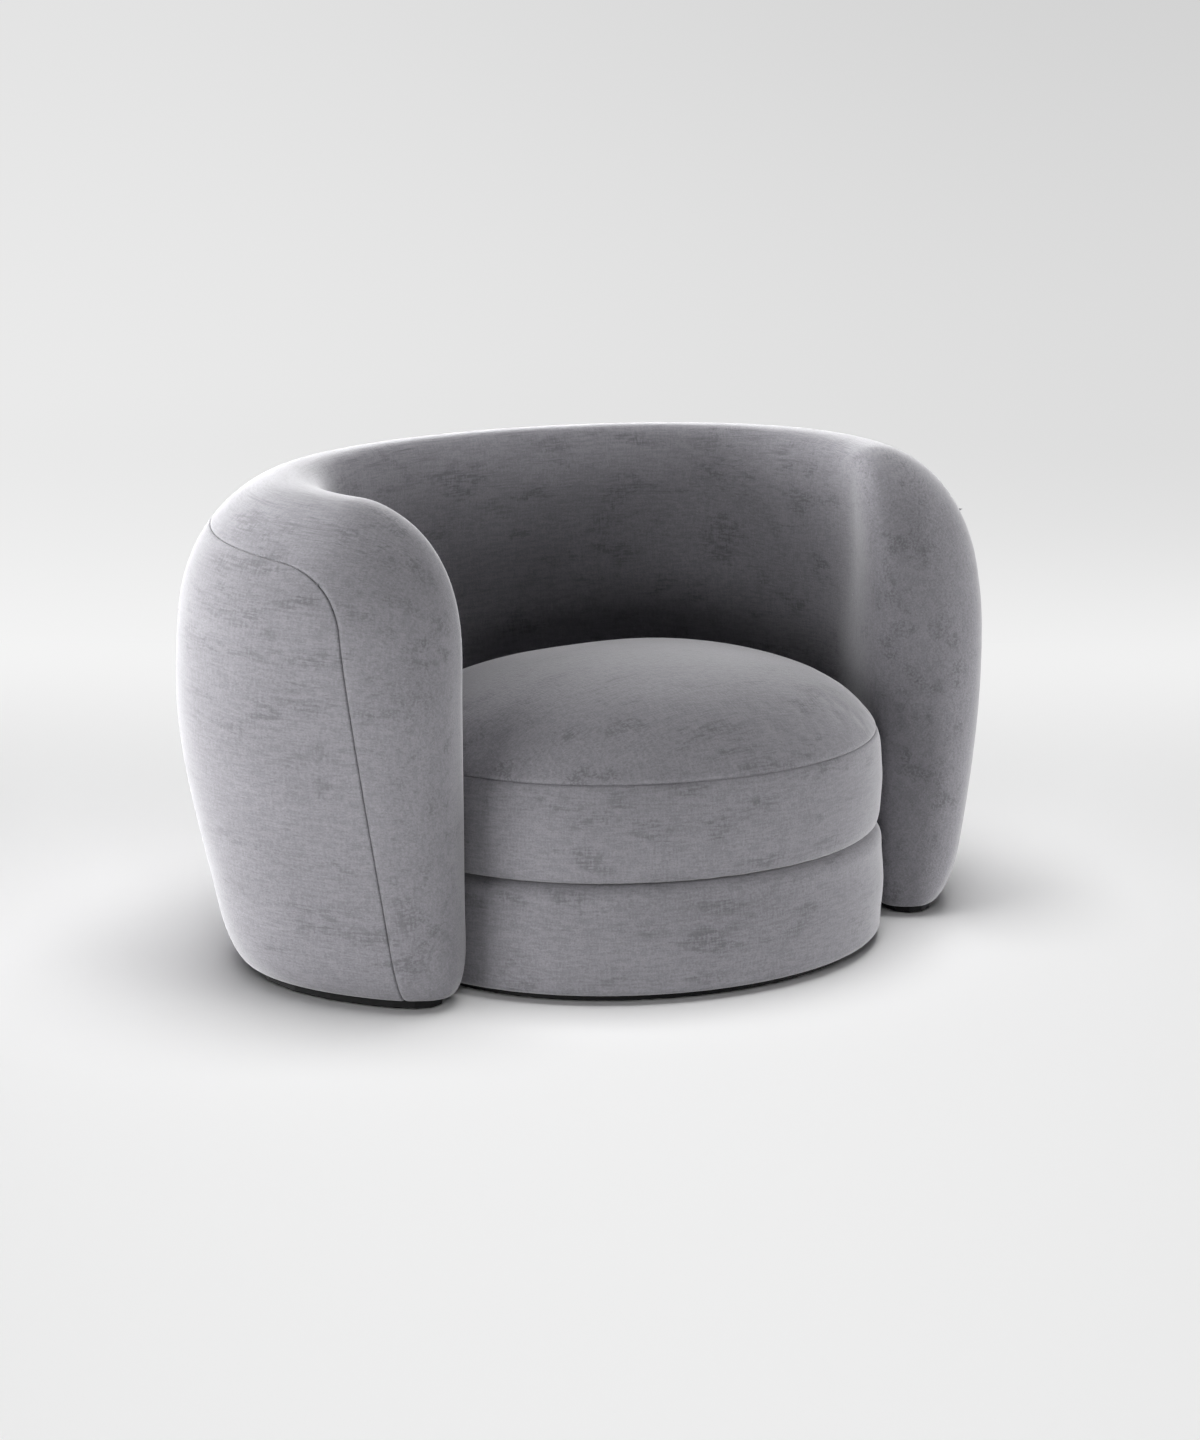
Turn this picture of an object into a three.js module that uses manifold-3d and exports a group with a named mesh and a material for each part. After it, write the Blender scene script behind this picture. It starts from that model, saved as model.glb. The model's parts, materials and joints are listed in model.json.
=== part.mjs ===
// Cuddle chair. A horseshoe shell, foam over a plywood frame, makes the back and both arms. A round drum stands inside
// the horseshoe, zigzag springs cross it, and a thick crowned cushion lies loose on top. A black plinth, set back all
// round, joins shell and drum and carries the glides.
// Lengths are in millimetres. The origin is on the floor under the middle of the chair, -Y is the front and +Z is up.

import Module from "manifold-3d";
import * as THREE from "three";
import { mergeVertices } from "three/addons/utils/BufferGeometryUtils.js";

const wasm = await Module();
wasm.setup();

// Clearances, and how far a cutting body runs past what it cuts
const GAP = 0.3;
const SEAT_GAP = 1.5;
const OVERRUN = 20;
const WELD = 0.001;
const WELD_NOISE = 1e-7;

// Plan of the shell, on the middle line of its wall: half a squarish ellipse for the back, then two arms that curl in
const PLAN_HALF_WIDTH = 538;
const PLAN_BACK_DEPTH = 314;
const PLAN_EXPONENT = 2.07;
const ARM_LENGTH = 157;
const ARM_CURL = 53;

// Section of the shell. Its faces lie this far from the middle line at the foot, half way up and where the roll starts
const CHAIR_HEIGHT = 710;
const PLINTH_HEIGHT = 17.5;
const ROLL_HEIGHT = 205;
const RIDGE_INWARD = 58;
const ROLL_DROP = 11;
const ROLL_EXPONENT = 2.43;
const OUTSET_FOOT = 54;
const OUTSET_MIDDLE = 92;
const OUTSET_TOP = 101;
const INSET_FOOT = 87;
const INSET_MIDDLE = 91;
const INSET_TOP = 90;
const BACK_THINNING = 10;
const BACK_TOP_OFFSET = 78;
const ARM_NOSE = 120;
const NOSE_CORNER = 67;
const FOOT_ROUND_WIDTH = 21;
const FOOT_ROUND_HEIGHT = 78;

// The seam between the outside panel and the rest of the cover, from where the arm's nose begins and from the foot
const SEAM_AHEAD_FOOT = 45;
const SEAM_BEHIND_TOP = 15;
const SEAM_BELOW_TOP = 49.5;
const SEAM_DROP = 50;
const SEAM_CORNER = 75;

// Cloth
const COVER = 2;
const HEM = 28;
const SEAM_GAP = 0.6;

// Frame of the shell
const FOAM_OUTSIDE = 26;
const FRAME_INSET = 55;
const FRAME_RISE_IN_ROLL = 95;
const FRAME_AHEAD = 30;
const PLY = 18;
const HARDBOARD = 3;
const RIB_COUNT = 9;
const RIB_WINDOW_WIDTH = 44;
const RIB_WINDOW_HEIGHT = 300;

// Seat base
const SEAT_HALF_DEPTH = 333;
const SEAT_REAR_EXPONENT = 2.6;
const DRUM_SETBACK = 6;
const DRUM_HEIGHT = 171;
const DRUM_ROUND_FOOT = 12;
const DRUM_ROUND_TOP = 22;
const DRUM_BULGE = 4;
const DRUM_HEM_TOP = 26;
const DRUM_FOAM = 25;
const DECK_CLOTH = 1.5;
const DECK_PAD = 6;
const DECK_CROWN = 4;
const FLOOR_PLY = 15;
const RING_PLY = 15;
const RING_WIDTH = 66;
const HOOP = 6;
const POST_DIAMETER = 36;
const POST_COUNT = 6;

// Zigzag springs and their clips
const SPRING_COUNT = 5;
const SPRING_SPREAD_SHARE = 0.8;
const SPRING_PITCH = 56;
const SPRING_HALF_WIDTH = 24;
const WIRE_DIAMETER = 4;
const CLIP_STEEL = 1.4;
const CLIP_WIDTH = 20;
const CLIP_STRAP = 16;
const CLIP_FLAP = 5;
const SPRING_ROUNDING_SHARE = 0.35;

// Cushion
const CUSHION_TUCK = 17;
const CUSHION_BORDER = 143;
const CUSHION_CROWN = 129;
const ZIP_HEIGHT = 24;
const ZIP_LENGTH = 520;
const BORDER_FULLNESS_SHARE = 0.7;

// Plinth and glides
const PLINTH_SETBACK_SHELL = 30;
const PLINTH_SETBACK_DRUM = 24;
const GLIDE_HEIGHT = 3;
const GLIDE_DIAMETER = 26;
const GLIDE_PLACE_SHARES = [-0.93, -0.45, 0.45, 0.93];
const GLIDE_FRONT_X_SHARE = 0.45;
const GLIDE_FRONT_Y_SHARE = 0.7;

// How finely curved faces are divided
const ROLL_COLUMN_COUNT = 24;
const FRONT_ROW_COUNT = 5;
const FOOT_ROW_COUNT = 2;
const CORNER_STEP_COUNT = 2;
const ROLL_OUTSIDE_STEP_COUNT = 4;
const ROLL_INSIDE_STEP_COUNT = 5;
const FRAME_COLUMN_COUNT = 28;
const FRAME_ROW_COUNT = 4;
const SEAT_FACET_COUNT = 32;
const CROWN_STEP_COUNT = 6;
const BORDER_STEP_COUNT = 5;
const PLAN_DIVISION_COUNT = 800;
const NOSE_STEP_COUNT = 4;
const DOME_STEP_COUNT = 2;
const POST_FACET_COUNT = 10;
const GLIDE_FACET_COUNT = 12;
const SPRING_STEP_COUNT = 2;
const SPRING_SIDE_COUNT = 2;
const ROUND_STEP_COUNT = 2;
const SLOT_STEP_COUNT = 4;

// Finishes, from the photograph for what shows
const velvet = new THREE.MeshStandardMaterial({ color: 0x8b8b90, roughness: 0.9, metalness: 0 });
const foam = new THREE.MeshStandardMaterial({ color: 0xe8dfae, roughness: 0.95, metalness: 0 });
const plywood = new THREE.MeshStandardMaterial({ color: 0xc9a87a, roughness: 0.7, metalness: 0 });
const hardboard = new THREE.MeshStandardMaterial({ color: 0x7a5a3c, roughness: 0.8, metalness: 0 });
const blackLacquer = new THREE.MeshStandardMaterial({ color: 0x0b0b0c, roughness: 0.5, metalness: 0 });
const nylon = new THREE.MeshStandardMaterial({ color: 0x1a1a1a, roughness: 0.6, metalness: 0 });
const springSteel = new THREE.MeshStandardMaterial({ color: 0x8f9296, roughness: 0.35, metalness: 1 });
const felt = new THREE.MeshStandardMaterial({ color: 0x6f6a62, roughness: 1, metalness: 0 });
const blackCloth = new THREE.MeshStandardMaterial({ color: 0x151516, roughness: 1, metalness: 0 });

const { clamp, lerp } = THREE.MathUtils;
const quarter = Math.PI / 2;
const chair = new THREE.Group();

function addPiece(name, geometry, material) {
  const piece = new THREE.Mesh(geometry, material);
  piece.name = name;
  chair.add(piece);
  return piece;
}

// Closed meshes: solids for joining and cutting, and bodies built from grids of points

function toSolid(geometry) {
  const bare = geometry.clone();
  bare.deleteAttribute("normal");
  bare.deleteAttribute("uv");
  const merged = mergeVertices(bare);
  const vertProperties = new Float32Array(merged.attributes.position.array);
  const triVerts = new Uint32Array(merged.index.array);
  return new wasm.Manifold(new wasm.Mesh({ numProp: 3, vertProperties, triVerts }));
}

function toGeometry(solid) {
  const mesh = solid.getMesh();
  const geometry = new THREE.BufferGeometry();
  geometry.setAttribute("position", new THREE.BufferAttribute(new Float32Array(mesh.vertProperties), 3));
  geometry.setIndex(new THREE.BufferAttribute(new Uint32Array(mesh.triVerts), 1));
  geometry.computeVertexNormals();
  return geometry;
}

function bodyFrom(points, faces) {
  const corner = (i) => points[i];
  let volume = 0;
  for (const [i, j, k] of faces) {
    volume += corner(i).dot(corner(j).clone().cross(corner(k)));
  }
  const outward = volume > 0 ? faces : faces.map(([i, j, k]) => [i, k, j]);
  const geometry = new THREE.BufferGeometry().setFromPoints(points);
  geometry.setIndex(outward.flat());
  geometry.computeVertexNormals();
  return geometry;
}

// Numbers the points of several grids, the same number for points that coincide, and lists their triangles. A grid
// holds rows of points, and a turned one is wound the other way.
function weld(grids) {
  const numbers = new Map();
  const points = [];
  const slots = [];
  const faces = [];
  const steady = (value) => Math.round(value / WELD_NOISE) * WELD_NOISE;
  const numberOf = (point) => {
    const key = point.toArray().map((value) => Math.round(steady(value) / WELD)).join();
    if (!numbers.has(key)) {
      numbers.set(key, points.length);
      points.push(point);
    }
    return numbers.get(key);
  };
  grids.forEach(({ rows, turned }, g) => {
    const numbered = rows.map((row) => row.map(numberOf));
    rows.forEach((row, i) => row.forEach((_, j) => {
      slots[numbered[i][j]] = [g, i, j];
    }));
    for (let i = 1; i < rows.length; i++) {
      for (let j = 1; j < rows[i].length; j++) {
        const corners = [numbered[i - 1][j - 1], numbered[i - 1][j], numbered[i][j], numbered[i][j - 1]];
        const [a, b, c, d] = turned ? [corners[0], corners[3], corners[2], corners[1]] : corners;
        const halves = [[a, b, c], [a, c, d]];
        faces.push(...halves.filter(([p, q, r]) => p !== q && q !== r && r !== p));
      }
    }
  });
  return { points, faces, slots };
}

function openEdges(faces) {
  const edges = new Map();
  for (const face of faces) {
    face.forEach((from, i) => edges.set(`${from},${face[(i + 1) % 3]}`, [from, face[(i + 1) % 3]]));
  }
  return [...edges.values()].filter(([from, to]) => !edges.has(`${to},${from}`));
}

// A skin between two depths under the surface that gridsAt describes
function skinBody(gridsAt, near, far) {
  const { points, faces, slots } = weld(gridsAt(near));
  const under = gridsAt(far);
  const count = points.length;
  const inner = slots.map(([g, i, j]) => under[g].rows[i][j]);
  const walls = openEdges(faces).flatMap(([from, to]) => [
    [to, from, from + count],
    [to, from + count, to + count],
  ]);
  const innerFaces = faces.map(([i, j, k]) => [i + count, k + count, j + count]);
  return bodyFrom([...points, ...inner], [...faces, ...innerFaces, ...walls]);
}

// A body inside the surface that gridsAt describes, closed by one flat face across its open edge
function solidBody(gridsAt, depth) {
  const { points, faces } = weld(gridsAt(depth));
  const next = new Map(openEdges(faces).map(([from, to]) => [to, from]));
  const start = next.keys().next().value;
  const loop = [start];
  for (let at = next.get(start); at !== start; at = next.get(at)) {
    loop.push(at);
  }
  const outline = loop.map((i) => new THREE.Vector2(points[i].x, points[i].y));
  const lids = THREE.ShapeUtils.triangulateShape(outline, []);
  const clockwise = THREE.ShapeUtils.isClockWise(outline);
  const turnedLid = ([i, j, k]) => [loop[i], loop[k], loop[j]];
  const lid = lids.map(([i, j, k]) => (clockwise ? turnedLid([i, j, k]) : [loop[i], loop[j], loop[k]]));
  return bodyFrom(points, [...faces, ...lid]);
}

// The middle line of the shell's wall, from the left arm's front round the back to the right arm's front
class ShellPlan extends THREE.Curve {
  getPoint(t, target = new THREE.Vector3()) {
    const side = t < 0.5 ? -1 : 1;
    const backPart = PLAN_BACK_DEPTH + PLAN_HALF_WIDTH;
    const fromBack = Math.abs(2 * t - 1) * (backPart + ARM_LENGTH);
    if (fromBack > backPart) {
      const share = (fromBack - backPart) / ARM_LENGTH;
      return target.set(side * (PLAN_HALF_WIDTH - ARM_CURL * share ** 2), -ARM_LENGTH * share, 0);
    }
    const angle = ((fromBack / backPart) * Math.PI) / 2;
    const x = PLAN_HALF_WIDTH * Math.sin(angle) ** (2 / PLAN_EXPONENT);
    const y = PLAN_BACK_DEPTH * Math.max(0, Math.cos(angle)) ** (2 / PLAN_EXPONENT);
    return target.set(side * x, y, 0);
  }
}

const plan = new ShellPlan();
plan.arcLengthDivisions = PLAN_DIVISION_COUNT;
const planHalfLength = plan.getLength() / 2;
const sheetTop = CHAIR_HEIGHT - ROLL_HEIGHT;

// Point and outward direction at distance a along the plan from the middle of the back, positive to the right arm
function planAt(a) {
  const inside = clamp(a, -planHalfLength, planHalfLength);
  const share = (1 + inside / planHalfLength) / 2;
  const along = plan.getTangentAt(share);
  const point = plan.getPointAt(share).addScaledVector(along, a - inside);
  return { point, outward: new THREE.Vector3(-along.y, along.x, 0) };
}

function curveThrough(foot, middle, top, rise) {
  const nearFoot = foot * (1 - rise) * (1 - 2 * rise);
  return nearFoot + 4 * middle * rise * (1 - rise) + top * rise * (2 * rise - 1);
}

function riseAt(z) {
  return clamp((z - PLINTH_HEIGHT) / (sheetTop - PLINTH_HEIGHT), 0, 1);
}

function fromBackShare(a) {
  return Math.min(Math.abs(a) / planHalfLength, 1);
}

function rollFoot(a) {
  return sheetTop - ROLL_DROP * Math.min(Math.abs(a) / (planHalfLength - NOSE_CORNER), 1) ** 2;
}

// How far a place is over the roll or the arm's nose: share is 0 where the rounding starts and 1 on the ridge
function overEdge(a, z, depth, drawIn) {
  const along = Math.max(Math.abs(a) - planHalfLength + NOSE_CORNER, 0);
  const above = Math.max(z - rollFoot(a) + NOSE_CORNER, 0);
  const distance = Math.hypot(along, above);
  const upShare = distance > 0 ? (above / distance) ** 2 : 0;
  const reach = (ARM_NOSE - depth - drawIn) * (1 - upShare) + (ROLL_HEIGHT - depth) * upShare;
  return { share: clamp((distance - NOSE_CORNER) / reach, 0, 1), upShare };
}

// Distance of the wall's face from the plan, outward positive. Side 1 is the outer face and -1 the inner one, and depth
// is how far under the cover's surface the face lies.
function wallOffset(a, z, side, depth, drawIn = 0) {
  const outset = curveThrough(OUTSET_FOOT, OUTSET_MIDDLE, OUTSET_TOP, riseAt(z));
  const inset = curveThrough(INSET_FOOT, INSET_MIDDLE, INSET_TOP, riseAt(z));
  const thinning = BACK_THINNING * Math.cos((fromBackShare(a) * Math.PI) / 2) ** 2;
  const half = (outset + inset) / 2 - thinning - depth - drawIn;
  const { share, upShare } = overEdge(a, z, depth, drawIn);
  const over = share ** ROLL_EXPONENT;
  return (outset - inset) / 2 + side * half * (1 - over) ** (1 / ROLL_EXPONENT) - RIDGE_INWARD * upShare * over;
}

function place(a, offset, z) {
  const { point, outward } = planAt(a);
  point.addScaledVector(outward, offset);
  point.y += BACK_TOP_OFFSET * riseAt(z) * Math.cos((fromBackShare(a) * Math.PI) / 2);
  point.z = z;
  return point;
}

// The foot of the cover is a quarter of an ellipse. Below its lowest edge it is turned in flat under the frame.
function footDrawIn(h, depth) {
  const inFoot = clamp(1 - h / FOOT_ROUND_HEIGHT, 0, 1);
  const round = Math.max(FOOT_ROUND_WIDTH - depth, 0) * (1 - Math.sqrt(1 - inFoot ** 2));
  return round + Math.max(-h, 0);
}

// A place on the shell by its distance a along the plan and its height h above the cover's lowest edge
function shellPoint(a, h, side, depth) {
  const inFoot = clamp(1 - h / FOOT_ROUND_HEIGHT, 0, 1);
  const z = PLINTH_HEIGHT + Math.max(h, 0) + depth * inFoot;
  return place(a, wallOffset(a, z, side, depth, footDrawIn(h, depth)), z);
}

const seamTopHeight = CHAIR_HEIGHT - PLINTH_HEIGHT - SEAM_BELOW_TOP;

// Stations up the right arm's front, round its corner and along the roll to the middle of the back. Each has its place
// on the seam, and on the edge of the inside's plain face with the direction that the rounding leaves it.
function rightStations() {
  const seamTop = (a) => seamTopHeight - SEAM_DROP * (a / planHalfLength) ** 2;
  const seamFront = (h) => {
    const up = Math.max(h, 0) / seamTopHeight;
    return planHalfLength + lerp(SEAM_AHEAD_FOOT, -SEAM_BEHIND_TOP, up);
  };
  const stations = [];
  const add = (seamA, seamH, edgeA, edgeH, turn) => stations.push({
    seam: { a: seamA, h: seamH },
    edge: { a: edgeA, h: edgeH, turn },
  });
  add(seamFront(-HEM), -HEM, planHalfLength, -HEM, 0);
  for (let i = 0; i <= FOOT_ROW_COUNT; i++) {
    const h = FOOT_ROUND_HEIGHT * (1 - Math.cos((i / FOOT_ROW_COUNT) * quarter));
    add(seamFront(h), h, planHalfLength, h, 0);
  }
  const edgeCorner = rollFoot(planHalfLength) - PLINTH_HEIGHT - NOSE_CORNER;
  const sharpCorner = seamFront(seamTopHeight);
  const seamCorner = seamTop(sharpCorner) - SEAM_CORNER;
  for (let i = 1; i <= FRONT_ROW_COUNT; i++) {
    const seamH = lerp(FOOT_ROUND_HEIGHT, seamCorner, i / FRONT_ROW_COUNT);
    add(seamFront(seamH), seamH, planHalfLength, lerp(FOOT_ROUND_HEIGHT, edgeCorner, i / FRONT_ROW_COUNT), 0);
  }
  const cornerEnd = sharpCorner - SEAM_CORNER;
  const corner = new THREE.QuadraticBezierCurve(
    new THREE.Vector2(seamFront(seamCorner), seamCorner),
    new THREE.Vector2(sharpCorner, seamTop(sharpCorner)),
    new THREE.Vector2(cornerEnd, seamTop(cornerEnd)),
  );
  for (let i = 1; i <= 2 * CORNER_STEP_COUNT; i++) {
    const share = i / (2 * CORNER_STEP_COUNT);
    const turn = share * quarter;
    const seam = corner.getPoint(share);
    const edgeA = planHalfLength - NOSE_CORNER * (1 - Math.cos(turn));
    add(seam.x, seam.y, edgeA, edgeCorner + NOSE_CORNER * Math.sin(turn), turn);
  }
  for (let i = 1; i <= ROLL_COLUMN_COUNT / 2; i++) {
    const share = 1 - i / (ROLL_COLUMN_COUNT / 2);
    const edgeA = (planHalfLength - NOSE_CORNER) * share;
    add(cornerEnd * share, seamTop(cornerEnd * share), edgeA, rollFoot(edgeA) - PLINTH_HEIGHT, quarter);
  }
  return stations;
}

const rightHalf = rightStations();
const rowsUpSide = 1 + FOOT_ROW_COUNT + FRONT_ROW_COUNT + CORNER_STEP_COUNT;
const stations = [
  ...rightHalf.map((station) => ({ ...station, side: -1 })),
  ...rightHalf.slice(0, -1).reverse().map((station) => ({ ...station, side: 1 })),
];

// A plain face of the shell, inside the arch that the stations make on the seam or on the edge, or short of it
function panelGrid(line, side, depth, firstRow, short = 0) {
  const last = stations.length - 1;
  const arch = stations.map((station) => ({
    a: station.side * (station[line].a - short * Math.cos(station.edge.turn)),
    h: station[line].h - short * Math.sin(station.edge.turn),
  }));
  const columns = last - 2 * rowsUpSide;
  const left = arch[rowsUpSide];
  const right = arch[last - rowsUpSide];
  const rows = [];
  for (let i = firstRow; i <= rowsUpSide; i++) {
    const up = Math.max((arch[i].h - FOOT_ROUND_HEIGHT) / (left.h - FOOT_ROUND_HEIGHT), 0);
    rows.push([]);
    for (let j = 0; j <= columns; j++) {
      const top = arch[rowsUpSide + j];
      const across = (top.a - left.a) / (right.a - left.a);
      const h = up > 0 ? lerp(FOOT_ROUND_HEIGHT, top.h, up) : arch[i].h;
      rows.at(-1).push(shellPoint(lerp(arch[i].a, arch[last - i].a, across), h, side, depth));
    }
  }
  return { rows, turned: side < 0 };
}

// The rounded band from the seam over the roll, or round the arm's nose, to the edge of the inside's plain face
function bandGrid(depth, firstRow) {
  const kept = stations.slice(firstRow, stations.length - firstRow);
  const rows = kept.map(({ seam, edge, side }) => {
    const drawIn = footDrawIn(edge.h, depth);
    const along = (ARM_NOSE - depth - drawIn) * Math.cos(edge.turn) ** 2;
    const reach = along + (ROLL_HEIGHT - depth) * Math.sin(edge.turn) ** 2;
    const ridge = { a: edge.a + reach * Math.cos(edge.turn), h: edge.h + reach * Math.sin(edge.turn) };
    const row = [];
    for (let i = 0; i < ROLL_OUTSIDE_STEP_COUNT; i++) {
      const share = Math.sin((i / ROLL_OUTSIDE_STEP_COUNT) * quarter);
      row.push(shellPoint(side * lerp(seam.a, ridge.a, share), lerp(seam.h, ridge.h, share), 1, depth));
    }
    for (let i = 0; i <= ROLL_INSIDE_STEP_COUNT; i++) {
      const share = Math.cos((i / ROLL_INSIDE_STEP_COUNT) * quarter);
      row.push(shellPoint(side * lerp(edge.a, ridge.a, share), lerp(edge.h, ridge.h, share), -1, depth));
    }
    return row;
  });
  return { rows, turned: true };
}

function addShellCovers() {
  const outside = (depth) => [panelGrid("seam", 1, depth, 0, SEAM_GAP)];
  const inside = (depth) => [bandGrid(depth, 0), panelGrid("edge", -1, depth, 0)];
  addPiece("outside_cover", skinBody(outside, 0, COVER), velvet);
  addPiece("inside_cover", skinBody(inside, 0, COVER), velvet);
}

function spread(from, to, steps) {
  return Array.from({ length: steps + 1 }, (_, i) => lerp(from, to, i / steps));
}

function range(count) {
  return Array.from({ length: count }, (_, i) => i);
}

// A three.js solid made closed: its shared points are merged and faces with no area are dropped
function closed(geometry) {
  const bare = geometry.clone();
  bare.deleteAttribute("normal");
  bare.deleteAttribute("uv");
  const merged = mergeVertices(bare, WELD);
  const points = range(merged.attributes.position.count).map((i) => (
    new THREE.Vector3().fromBufferAttribute(merged.attributes.position, i)
  ));
  const indices = Array.from(merged.index.array);
  const faces = range(indices.length / 3).map((i) => indices.slice(3 * i, 3 * i + 3));
  return bodyFrom(points, faces.filter(([i, j, k]) => i !== j && j !== k && k !== i));
}

function extruded(shape, height, curveSegments = SLOT_STEP_COUNT) {
  return closed(new THREE.ExtrudeGeometry(shape, { depth: height, bevelEnabled: false, curveSegments }));
}

// The shell's frame. Its outer face runs straight between these levels, and its inner face stands upright.
const frameFoot = PLINTH_HEIGHT + COVER + GAP;
const frameTop = sheetTop + FRAME_RISE_IN_ROLL;
const frameEnd = planHalfLength + FRAME_AHEAD;
const frameLevels = [...spread(frameFoot, sheetTop, FRAME_ROW_COUNT - 1), frameTop];

function frameOuter(a, z) {
  const above = frameLevels.findIndex((level, i) => i > 0 && (z <= level || i === FRAME_ROW_COUNT));
  const [low, high] = frameLevels.slice(above - 1, above + 1);
  const atLow = wallOffset(a, low, 1, FOAM_OUTSIDE);
  return lerp(atLow, wallOffset(a, high, 1, FOAM_OUTSIDE), (z - low) / (high - low));
}

// A body that follows the wall between two places along the plan, with its outer and inner face given as offsets
function bentBody(from, to, columns, levels, outer, inner) {
  const along = spread(from, to, columns);
  const outside = along.map((a) => levels.map((z) => place(a, outer(a, z), z)));
  const inside = along.map((a) => levels.map((z) => place(a, inner(a, z), z)));
  const across = (column, level) => [outside.at(column).at(level), inside.at(column).at(level)];
  const { points, faces } = weld([
    { rows: outside, turned: false },
    { rows: inside, turned: true },
    { rows: along.map((_, i) => across(i, -1)), turned: false },
    { rows: along.map((_, i) => across(i, 0)), turned: true },
    { rows: levels.map((_, i) => across(0, i)), turned: false },
    { rows: levels.map((_, i) => across(-1, i)), turned: true },
  ]);
  return bodyFrom(points, faces);
}

function addShellFrame() {
  const wholeLength = (outer, inner) => bentBody(-frameEnd, frameEnd, FRAME_COLUMN_COUNT, frameLevels, outer, inner);
  const outerBack = (a, z) => frameOuter(a, z) - HARDBOARD;
  const innerBack = () => HARDBOARD - FRAME_INSET;
  addPiece("shell_outer_board", wholeLength(frameOuter, outerBack), hardboard);
  addPiece("shell_inner_board", wholeLength(innerBack, () => -FRAME_INSET), hardboard);

  const between = toSolid(wholeLength((a, z) => outerBack(a, z) - GAP, () => innerBack() + GAP));
  const layer = (low, high) => {
    const size = [4 * PLAN_HALF_WIDTH, 4 * PLAN_HALF_WIDTH, high - low];
    return between.intersect(toSolid(new THREE.BoxGeometry(...size).translate(0, 0, (low + high) / 2)));
  };
  addPiece("shell_base_board", toGeometry(layer(frameFoot, frameFoot + PLY)), plywood);
  addPiece("shell_top_board", toGeometry(layer(frameTop - PLY, frameTop)), plywood);

  const middleLayer = layer(frameFoot + PLY + GAP, frameTop - PLY - GAP);
  spread(-frameEnd + PLY / 2, frameEnd - PLY / 2, RIB_COUNT - 1).forEach((a, i) => {
    const { point, outward } = planAt(a);
    const slab = new THREE.BoxGeometry(PLAN_HALF_WIDTH, PLY, 2 * CHAIR_HEIGHT);
    slab.rotateZ(Math.atan2(outward.y, outward.x)).translate(point.x, point.y, 0);
    const rib = middleLayer.intersect(toSolid(slab)).subtract(ribWindow(a));
    addPiece(`shell_rib_${i + 1}`, toGeometry(rib), plywood);
  });
}

// A slot with round ends, which stands in the middle of a rib
function ribWindow(a) {
  const radius = RIB_WINDOW_WIDTH / 2;
  const straight = RIB_WINDOW_HEIGHT / 2 - radius;
  const slot = new THREE.Shape();
  slot.absarc(0, straight, radius, 0, Math.PI);
  slot.absarc(0, -straight, radius, Math.PI, 2 * Math.PI);
  const middle = (frameFoot + frameTop) / 2;
  const offset = (frameOuter(a, middle) - FRAME_INSET) / 2;
  const centre = place(a, offset, middle);
  const up = place(a, offset, middle + radius).sub(centre).normalize();
  const { outward } = planAt(a);
  const through = outward.clone().cross(up).normalize();
  const turned = new THREE.Matrix4().makeBasis(outward, up, through).setPosition(centre);
  const cutter = extruded(slot, PLY + 2 * OVERRUN).translate(0, 0, -PLY / 2 - OVERRUN);
  return toSolid(cutter.applyMatrix4(turned));
}

// The foam round the frame. In the back, the padding inside the frame is a piece of its own.
function addShellFoams() {
  const surface = (depth) => [
    panelGrid("seam", 1, depth, 1),
    bandGrid(depth, 1),
    panelGrid("edge", -1, depth, 1),
  ];
  const whole = toSolid(solidBody(surface, COVER + GAP));
  const inner = () => -FRAME_INSET - GAP;
  const end = frameEnd + GAP;
  const hollowTop = frameTop + GAP;
  const cutter = (top, outerFace, innerFace) => {
    const levels = [frameFoot - OVERRUN, ...frameLevels.slice(0, -1), top];
    return toSolid(bentBody(-end, end, FRAME_COLUMN_COUNT, levels, outerFace, innerFace));
  };
  const foamRound = whole.subtract(cutter(hollowTop, (a, z) => frameOuter(a, z) + GAP, inner));

  const reach = PLAN_HALF_WIDTH + PLAN_BACK_DEPTH + ARM_LENGTH + CHAIR_HEIGHT;
  const block = (width, x, y) => {
    const box = new THREE.BoxGeometry(width, reach, 2 * reach);
    return toSolid(closed(box.translate(x, y, 0)));
  };
  const armY = -(reach + GAP) / 2;
  addPiece("left_arm_foam", toGeometry(foamRound.intersect(block(reach, -reach / 2, armY))), foam);
  addPiece("right_arm_foam", toGeometry(foamRound.intersect(block(reach, reach / 2, armY))), foam);

  const backRound = foamRound.intersect(block(2 * reach, 0, -armY));
  const pastInside = () => -INSET_MIDDLE - OVERRUN;
  const padding = cutter(hollowTop - GAP, inner, pastInside);
  const paddingRoom = cutter(hollowTop, () => inner() + GAP, pastInside);
  addPiece("back_inner_foam", toGeometry(backRound.intersect(padding)), foam);
  addPiece("back_outer_foam", toGeometry(backRound.subtract(paddingRoom)), foam);
}

// The seat is as wide as the bay between the arms lets it be, and as far back as the back lets it be
const seatTop = DRUM_HEIGHT + CUSHION_BORDER + CUSHION_CROWN;
const seatLevels = spread(PLINTH_HEIGHT, seatTop, FRAME_ROW_COUNT * 2);
const bayPoint = (a, z) => place(a, wallOffset(a, z, -1, 0), z);
const seatMiddle = Math.min(...seatLevels.map((z) => bayPoint(0, z).y)) - SEAT_GAP - SEAT_HALF_DEPTH;
const seatHalfWidth = widestSeat();
const seatDepthShare = SEAT_HALF_DEPTH / seatHalfWidth;

function widestSeat() {
  const widths = spread(0, planHalfLength + ARM_NOSE, FRAME_COLUMN_COUNT * 2).flatMap((a) => seatLevels.map((z) => {
    const { x, y } = bayPoint(a, z);
    const endShare = Math.abs(y - seatMiddle) / (SEAT_HALF_DEPTH + SEAT_GAP);
    return endShare < 1 && x > 0 ? x / Math.sqrt(1 - endShare ** 2) : Infinity;
  }));
  return Math.min(...widths) - SEAT_GAP;
}

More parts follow.
